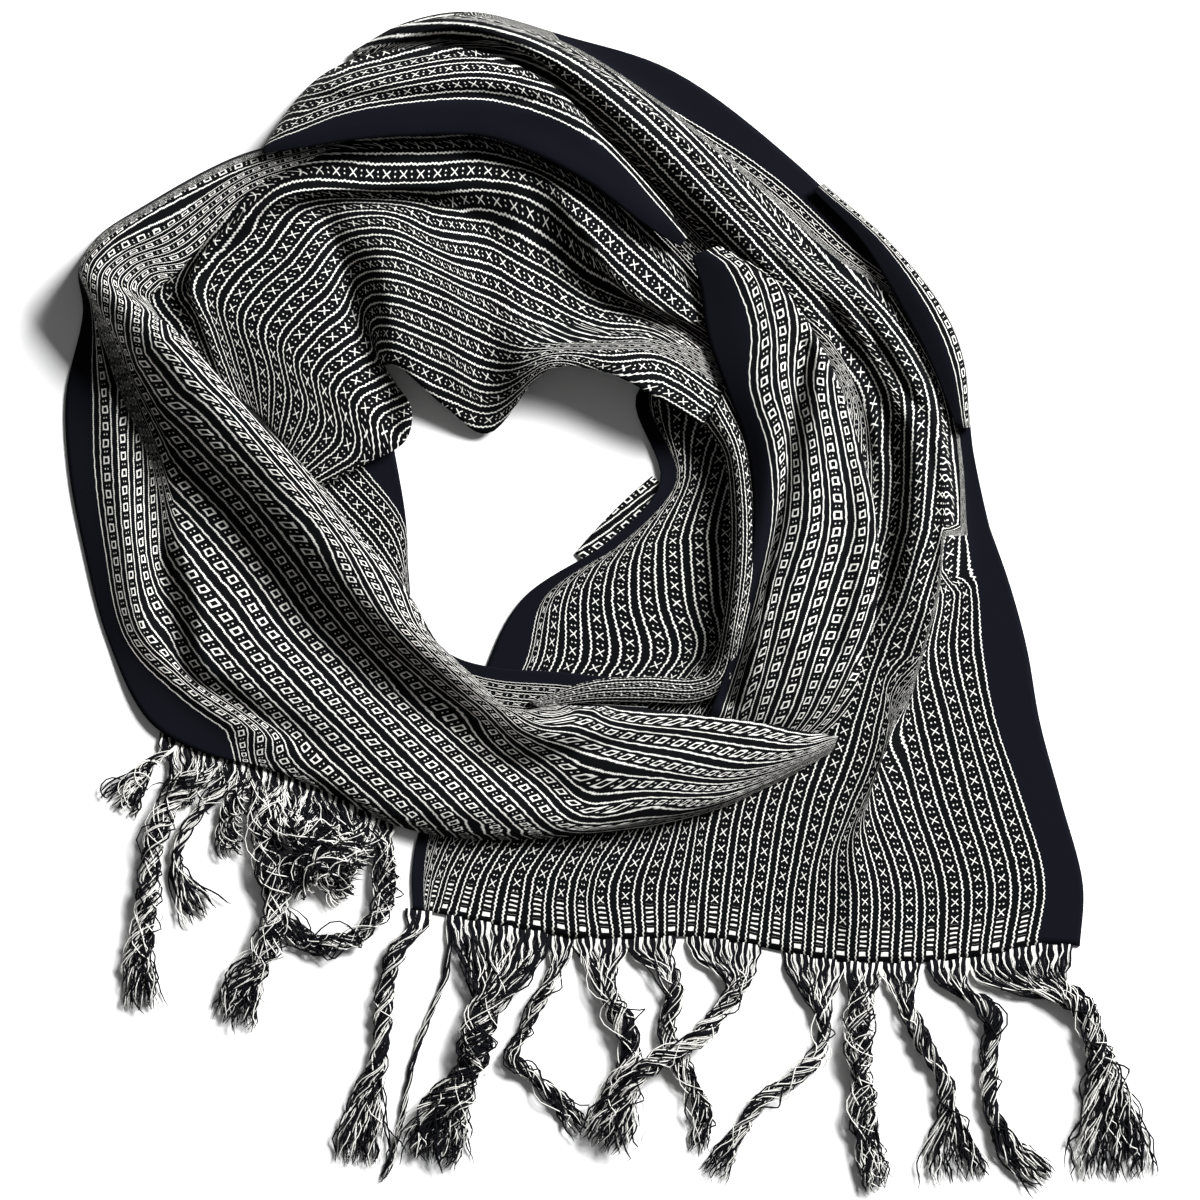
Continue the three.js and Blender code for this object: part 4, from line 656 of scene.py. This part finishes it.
LOWER_STRIP = {
    "start": [[652, 476, 0, 110], [672, 492, 0, 130]],
    "upper": [[628, 497, 0, 112], [646, 513, 0, 130]],
    "lower": [[601, 524, 0, 116], [616, 538, 0, 130]],
    "end": [[575, 553, 0, 123], [584, 563, 0, 131]],
}

grid = cloth_grid(LOWER_STRIP, 6, 8)
lower_strip = cloth_piece("lower_strip_cloth", grid, INNER_SELVEDGE, 1000.0, RING_UP)
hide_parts("lower_strip")

# End panel b: the hidden end that carries the left fringe.
# Flat on the table under the front.

END_PANEL_B = {
    "fringe_edge": [[166, 733, 0, 0], [228, 755, 0, 115], [290, 776, 0, 230], [350, 800, 0, 345],
     [408, 829, 0, 460]],
    "lower": [[178, 705, 0, 0], [238, 722, 0, 115], [295, 742, 0, 230], [350, 765, 0, 345],
     [404, 795, 0, 460]],
    "hidden_edge": [[196, 655, 0, 0], [250, 668, 0, 115], [300, 690, 0, 230], [345, 712, 0, 345],
     [390, 745, 0, 460]],
}

grid = cloth_grid(END_PANEL_B, 6, 6)
end_panel_b = cloth_piece("end_panel_b_cloth", grid, OUTER_SELVEDGE, 1000.0, RING_UP)
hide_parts("end_panel_b")

# The fringe: the warp's own ends, left long, gathered and twisted into tassels, and frayed at the tips.
# Black and bleached cotton threads of about 1 mm, in bunches as they leave the weave.
# Each tassel has plies that wind round one another, then opens into a brush of wavy single threads.

FRINGE_STEPS = 36
PLY_PITCH = 34.0                      # mm of tassel for one turn of its plies
SIDES = 3


def smooth(x):
    """Soft step from 0 to 1: x^2 (3 - 2x), with x held between 0 and 1."""
    x = np.clip(x, 0, 1)
    return x * x * (3 - 2 * x)


def evenly(points, count):
    """count points spaced evenly by length along a line of points, and the line's length."""
    length = np.concatenate([[0], np.cumsum(np.linalg.norm(np.diff(points[:, :2], axis=0), axis=1))])
    at = np.linspace(0, length[-1], count)
    return np.stack([np.interp(at, length, points[:, k]) for k in range(points.shape[1])], -1), length[-1]


def tassel_threads(tassel, edge, rng):
    """Centre lines in mm, radii and whiteness of a tassel's threads. Each leaves the weave in a wavy bunch and
    is drawn to the rope's axis over the first centimetres. There it adds its ply's centre, at angle turn + 120
    degrees a ply, and its own place in the ply, turning at half that rate. Past the fray come a wave and a fan
    that grow to the tip, and a few threads run in loose curls."""
    count = tassel["threads"]
    axis, length = evenly(curve_through(place(tassel["path"]), 8), FRINGE_STEPS)
    way = np.gradient(axis[:, :2], axis=0)
    way /= np.linalg.norm(way, axis=1, keepdims=True)
    side = np.stack([-way[:, 1], way[:, 0]], -1)

    root_x = axis[0, 0] + ((np.arange(count) + rng.uniform(-0.4, 0.4, count)) / count - 0.5) * tassel["root"]
    root = np.stack([root_x, np.interp(root_x, edge[:, 0], edge[:, 1])], -1)
    in_repeat = np.abs((np.abs(root_x - edge[0, 0]) / REPEAT) % 1 - 0.5) * REPEAT
    white = (in_repeat < 1.3) | (np.abs(in_repeat - 4.4) < 0.75)

    reach = 1.03 - np.where(white, 0.26, 0.16)[:, None] * rng.uniform(0, 1, (count, 1)) ** 2
    s = np.linspace(0, 1, FRINGE_STEPS)[None, :] * reach
    mm = length * s
    index = np.minimum(s, 1) * (FRINGE_STEPS - 1)
    whole = np.minimum(index.astype(int), FRINGE_STEPS - 2)
    part = (s * (FRINGE_STEPS - 1) - whole)[..., None]
    centre = axis[whole] * (1 - part) + axis[whole + 1] * part
    across = side[whole] * (1 - part) + side[whole + 1] * part
    forward = way[whole]

    rope = tassel["rope"] * (1 + 0.13 * np.sin(2 * np.pi * mm / 41 + rng.uniform(0, 6.3)))
    turn = 2 * np.pi * mm / PLY_PITCH + rng.uniform(0, 6.3)
    ply_angle = turn + 2 * np.pi * rng.integers(0, 3, count)[:, None] / 3
    own_angle = rng.uniform(0, 2 * np.pi, (count, 1)) + 0.5 * turn
    own = 0.52 * np.sqrt(rng.uniform(0.05, 1, (count, 1)))
    lateral = rope * (0.5 * np.cos(ply_angle) + own * np.cos(own_angle))
    height = rope * (0.5 * np.sin(ply_angle) + own * np.sin(own_angle))

    fray = smooth((s - tassel["fray"]) / (1 - tassel["fray"]))
    wave_length = rng.uniform(9, 24, (count, 1))
    wave = np.sin(2 * np.pi * mm / wave_length + rng.uniform(0, 6.3, (count, 1)))
    wave = wave * rng.uniform(0.4, 1.5, (count, 1))
    fan = rng.uniform(-0.5, 0.5, (count, 1)) + rng.normal(0, 0.1, (count, 1))
    lateral = lateral * (1 - 0.6 * fray) + fray * (fan * tassel["fan"] + wave)
    height = height * (1 - 0.45 * fray)

    curly = (rng.uniform(size=(count, 1)) < tassel["curly"]) * smooth(mm / 25)
    curl = 2 * np.pi * mm / (length * rng.uniform(0.19, 0.36, (count, 1))) + rng.uniform(0, 6.3, (count, 1))
    size = rng.uniform(1.8, 4.8, (count, 1)) * curly
    lateral = lateral + size * np.sin(curl) + curly * rng.normal(0, 2.5, (count, 1)) * np.sin(mm / 23)
    ahead = size * np.cos(curl)
    height = np.where(curly > 0.3, np.abs(height) + 1.0, height)

    middle = rope * 0.62 * (1 - 0.5 * fray) + 0.8
    z = centre[..., 2] + np.maximum(middle + height * 0.62, 0.6)
    gathered = centre[..., :2] + across * lateral[..., None] + forward * ahead[..., None]
    # out of the edge the threads first run straight on, and sway in bunches
    gather = smooth((mm - 3) / (14 + 0.6 * tassel["root"]))[..., None]
    bunch = np.floor(root_x / 4.5)[:, None]
    sway = 1.3 * np.sin(2 * np.pi * mm / 15 + 2.1 * bunch) * smooth(mm / 8)
    straight = root[:, None, :] + np.stack([sway, 0.6 - mm], -1)
    plan = straight * (1 - gather) + gathered * gather
    low = 1.0 + 1.6 * smooth(mm / 10) + 0.9 * np.sin(bunch * 1.7 + mm / 5)
    z = np.maximum(low, 0.6) * (1 - gather[..., 0]) + z * gather[..., 0]
    taper = np.minimum(1, (1.02 - np.linspace(0, 1, FRINGE_STEPS)) * 14)
    radii = np.where(white, 0.42, 0.62)[:, None] * rng.uniform(0.85, 1.15, (count, 1)) * taper
    return np.concatenate([plan, z[..., None]], -1), radii, white


def thread_mesh(lines, radii, sides):
    """Points and faces of tubes round many lines at once: a point is centre + r (cos a side + sin a up)."""
    count, steps = lines.shape[:2]
    way = np.gradient(lines, axis=1)
    way /= np.maximum(np.linalg.norm(way, axis=-1, keepdims=True), 1e-9)
    side = np.cross(way, [0, 0, 1.0])
    side /= np.maximum(np.linalg.norm(side, axis=-1, keepdims=True), 1e-6)
    up = np.cross(side, way)
    angle = 2 * np.pi * np.arange(sides) / sides + np.pi / 2
    ring = np.cos(angle)[:, None] * side[:, :, None] + np.sin(angle)[:, None] * up[:, :, None]
    points = lines[:, :, None] + ring * radii[:, :, None, None]
    index = np.arange(count * steps * sides).reshape(count, steps, sides)
    a, b = index[:, :-1], np.roll(index, -1, 2)[:, :-1]
    c, d = np.roll(index, -1, 2)[:, 1:], index[:, 1:]
    walls = np.stack([a, b, c, d], -1).reshape(-1, 4)
    ends = np.concatenate([index[:, 0, ::-1], index[:, -1]])
    return points.reshape(-1, 3), walls.tolist() + ends.tolist()


# Bleached and black cotton yarn, two-ply and softly spun: matt and a little fuzzy.
# Black yarn #0c0d12 and bleached white #e8e7e2, both flecked lighter and darker along the thread.
def cotton_yarn():
    material, tree, out = new_material("spun_cotton_yarn")
    tone = add(tree, "ShaderNodeAttribute", {"attribute_name": "yarn"})
    where = add(tree, "ShaderNodeTexCoord")
    fleck = add(tree, "ShaderNodeTexNoise", Vector=where.outputs["Object"], Scale=900.0, Detail=2.0)
    worn = add(tree, "ShaderNodeMath", {"operation": "MULTIPLY_ADD"}, i0=fleck.outputs["Fac"], i1=0.6,
               i2=0.55)
    dyed = add(tree, "ShaderNodeMix", {"data_type": "RGBA"}, i0=tone.outputs["Fac"])
    dyed.inputs[6].default_value = linear("#0c0d12")
    dyed.inputs[7].default_value = linear("#e8e7e2")
    colour = add(tree, "ShaderNodeVectorMath", {"operation": "SCALE"}, i0=dyed.outputs[2], i3=worn.outputs[0])
    bump = add(tree, "ShaderNodeBump", Strength=0.5, Distance=0.0005, Height=fleck.outputs["Fac"])
    surface = add(tree, "ShaderNodeBsdfPrincipled", Base_Color=colour.outputs[0], Roughness=0.9,
                  Specular_IOR_Level=0.1, Normal=bump.outputs[0])
    tree.links.new(surface.outputs[0], out.inputs[0])
    return material


yarn_material = cotton_yarn()


def fringe_piece(name, tassels, edge_section, seed):
    """One row of tassels as a single mesh of threads, each thread black or white by its attribute."""
    rng = np.random.default_rng(seed)
    edge = curve_through(place(edge_section), 6)
    edge = edge[np.argsort(edge[:, 0])]
    made = [tassel_threads(tassel, edge, rng) for tassel in tassels]
    lines, radii, white = (np.concatenate([m[k] for m in made]) for k in range(3))
    points, faces = thread_mesh(lines, radii, SIDES)
    points[:, 2] = np.maximum(points[:, 2], 0.02)
    mesh = bpy.data.meshes.new(name)
    mesh.from_pydata((points * MM).tolist(), [], faces)
    tone = mesh.attributes.new("yarn", "FLOAT", "POINT")
    tone.data.foreach_set("value", np.repeat(white.astype(np.float32), FRINGE_STEPS * SIDES))
    mesh.polygons.foreach_set("use_smooth", np.ones(len(faces), bool))
    mesh.materials.append(yarn_material)
    mesh.update()
    piece = bpy.data.objects.new(name, mesh)
    bpy.context.scene.collection.objects.link(piece)
    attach(piece, "root")
    return piece


# Each path is in plan units with its lift in mm. Then threads; in mm the width of the roots, the radius of
# the rope and the width of the fan; fray, the share of the length where it opens; and curly, the share of
# curly threads.
TASSELS_A = [
    {"path": [[419, 918, 0], [402, 938, 0], [391, 966, 0], [384, 1008, 0], [380, 1050, 0], [366, 1104, 0],
              [360, 1158, 0]],
     "threads": 82, "root": 16, "rope": 6.2, "fan": 32, "fray": 0.5, "curly": 0.06},
    {"path": [[450, 934, 0], [446, 974, 0], [426, 1024, 0], [412, 1066, 0], [403, 1112, 0], [394, 1150, 0],
              [384, 1176, 0]],
     "threads": 12, "root": 4, "rope": 1.9, "fan": 3, "fray": 0.8, "curly": 0.0},
    {"path": [[500, 941, 0], [494, 975, 0], [482, 1020, 0], [472, 1062, 0], [446, 1110, 0], [430, 1156, 0]],
     "threads": 148, "root": 64, "rope": 10.5, "fan": 36, "fray": 0.5, "curly": 0.22},
    {"path": [[562, 945, 0], [548, 985, 0], [524, 1030, 0], [512, 1056, 0], [530, 1074, 0], [556, 1096, 0],
              [580, 1130, 0]],
     "threads": 44, "root": 18, "rope": 4.6, "fan": 13, "fray": 0.6, "curly": 0.15},
    {"path": [[600, 938, 0], [603, 972, 0], [618, 1012, 0], [632, 1046, 0], [624, 1084, 0], [610, 1138, 0]],
     "threads": 84, "root": 34, "rope": 7.5, "fan": 30, "fray": 0.5, "curly": 0.2},
    {"path": [[650, 936, 0], [672, 964, 0], [674, 1000, 0], [668, 1034, 0], [680, 1064, 0], [696, 1090, 0],
              [704, 1118, 0], [698, 1146, 0]],
     "threads": 62, "root": 32, "rope": 5.2, "fan": 12, "fray": 0.6, "curly": 0.25},
    {"path": [[724, 940, 0], [744, 972, 0], [722, 1008, 1], [700, 1036, 5], [668, 1054, 6], [640, 1072, 6],
              [620, 1108, 5], [606, 1144, 5]],
     "threads": 84, "root": 46, "rope": 6.4, "fan": 26, "fray": 0.66, "curly": 0.12},
    {"path": [[815, 960, 0], [818, 990, 0], [824, 1020, 0], [820, 1050, 0], [798, 1075, 0], [762, 1099, 0],
              [736, 1136, 0], [715, 1172, 0]],
     "threads": 62, "root": 40, "rope": 4.8, "fan": 16, "fray": 0.72, "curly": 0.05},
    {"path": [[862, 966, 0], [862, 1000, 0], [860, 1040, 0], [862, 1085, 0], [868, 1135, 0],
              [876, 1184, 0]],
     "threads": 84, "root": 26, "rope": 8.0, "fan": 13, "fray": 0.35, "curly": 0.4},
    {"path": [[900, 965, 0], [906, 996, 0], [914, 1022, 0], [930, 1054, 0], [946, 1082, 0], [948, 1108, 0],
              [952, 1140, 0], [958, 1176, 0]],
     "threads": 76, "root": 26, "rope": 5.8, "fan": 40, "fray": 0.6, "curly": 0.08},
    {"path": [[948, 960, 0], [966, 990, 0], [992, 1014, 0], [990, 1058, 0], [989, 1100, 0], [1008, 1144, 0],
              [1044, 1176, 0]],
     "threads": 76, "root": 26, "rope": 5.8, "fan": 22, "fray": 0.6, "curly": 0.12},
    {"path": [[1020, 950, 0], [1060, 974, 0], [1084, 1008, 0], [1098, 1050, 0], [1106, 1090, 0],
              [1112, 1130, 0], [1114, 1172, 0]],
     "threads": 120, "root": 66, "rope": 8.0, "fan": 50, "fray": 0.42, "curly": 0.1},
]

fringe_a = fringe_piece("fringe_a_threads", TASSELS_A, OUTER_STRETCH["fringe_edge"], 11)
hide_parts("fringe_a")

TASSELS_B = [
    {"path": [[170, 735, 0], [152, 760, 0], [136, 784, 0], [120, 808, 0]],
     "threads": 52, "root": 10, "rope": 4.0, "fan": 24, "fray": 0.3, "curly": 0.1},
    {"path": [[206, 747, 0], [196, 775, 0], [172, 803, 0], [156, 836, 0], [150, 872, 0], [146, 915, 0],
              [138, 962, 0], [140, 1002, 0]],
     "threads": 96, "root": 20, "rope": 7.4, "fan": 22, "fray": 0.6, "curly": 0.2},
    {"path": [[230, 757, 0], [224, 785, 0], [202, 808, 0], [184, 834, 0], [176, 862, 0], [184, 890, 0],
              [202, 915, 0]],
     "threads": 44, "root": 14, "rope": 4.4, "fan": 24, "fray": 0.6, "curly": 0.15},
    {"path": [[244, 762, 0], [238, 795, 0], [230, 825, 0], [232, 852, 0]],
     "threads": 40, "root": 12, "rope": 4.5, "fan": 12, "fray": 0.5, "curly": 0.6},
    {"path": [[268, 770, 0], [262, 806, 0], [266, 850, 0], [277, 892, 0], [276, 925, 0], [262, 955, 0],
              [245, 985, 0], [232, 1018, 0]],
     "threads": 112, "root": 26, "rope": 7.2, "fan": 26, "fray": 0.62, "curly": 0.35},
    {"path": [[304, 784, 0], [298, 815, 0], [304, 845, 0], [324, 868, 0], [350, 890, 0]],
     "threads": 96, "root": 34, "rope": 7.5, "fan": 20, "fray": 0.6, "curly": 0.55},
    {"path": [[338, 797, 0], [336, 826, 0], [350, 846, 0], [366, 862, 0]],
     "threads": 84, "root": 34, "rope": 7.5, "fan": 20, "fray": 0.4, "curly": 0.55},
    {"path": [[374, 812, 0], [386, 840, 0], [388, 872, 0], [384, 904, 0], [366, 930, 0], [340, 942, 0],
              [314, 942, 0], [300, 934, 0], [284, 924, 0]],
     "threads": 84, "root": 26, "rope": 5.4, "fan": 12, "fray": 0.7, "curly": 0.3},
    {"path": [[290, 778, 0], [280, 806, 2], [296, 832, 4], [326, 844, 5], [356, 864, 4]],
     "threads": 100, "root": 44, "rope": 8.5, "fan": 24, "fray": 0.3, "curly": 0.85},
    {"path": [[352, 802, 0], [366, 822, 2], [350, 848, 5], [318, 862, 6], [290, 884, 4]],
     "threads": 100, "root": 44, "rope": 8.5, "fan": 22, "fray": 0.3, "curly": 0.85},
    {"path": [[196, 746, 0], [192, 762, 0], [186, 780, 0], [176, 800, 0]],
     "threads": 60, "root": 44, "rope": 7.0, "fan": 30, "fray": 0.2, "curly": 0.4},
]

fringe_b = fringe_piece("fringe_b_threads", TASSELS_B, END_PANEL_B["fringe_edge"], 12)
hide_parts("fringe_b")
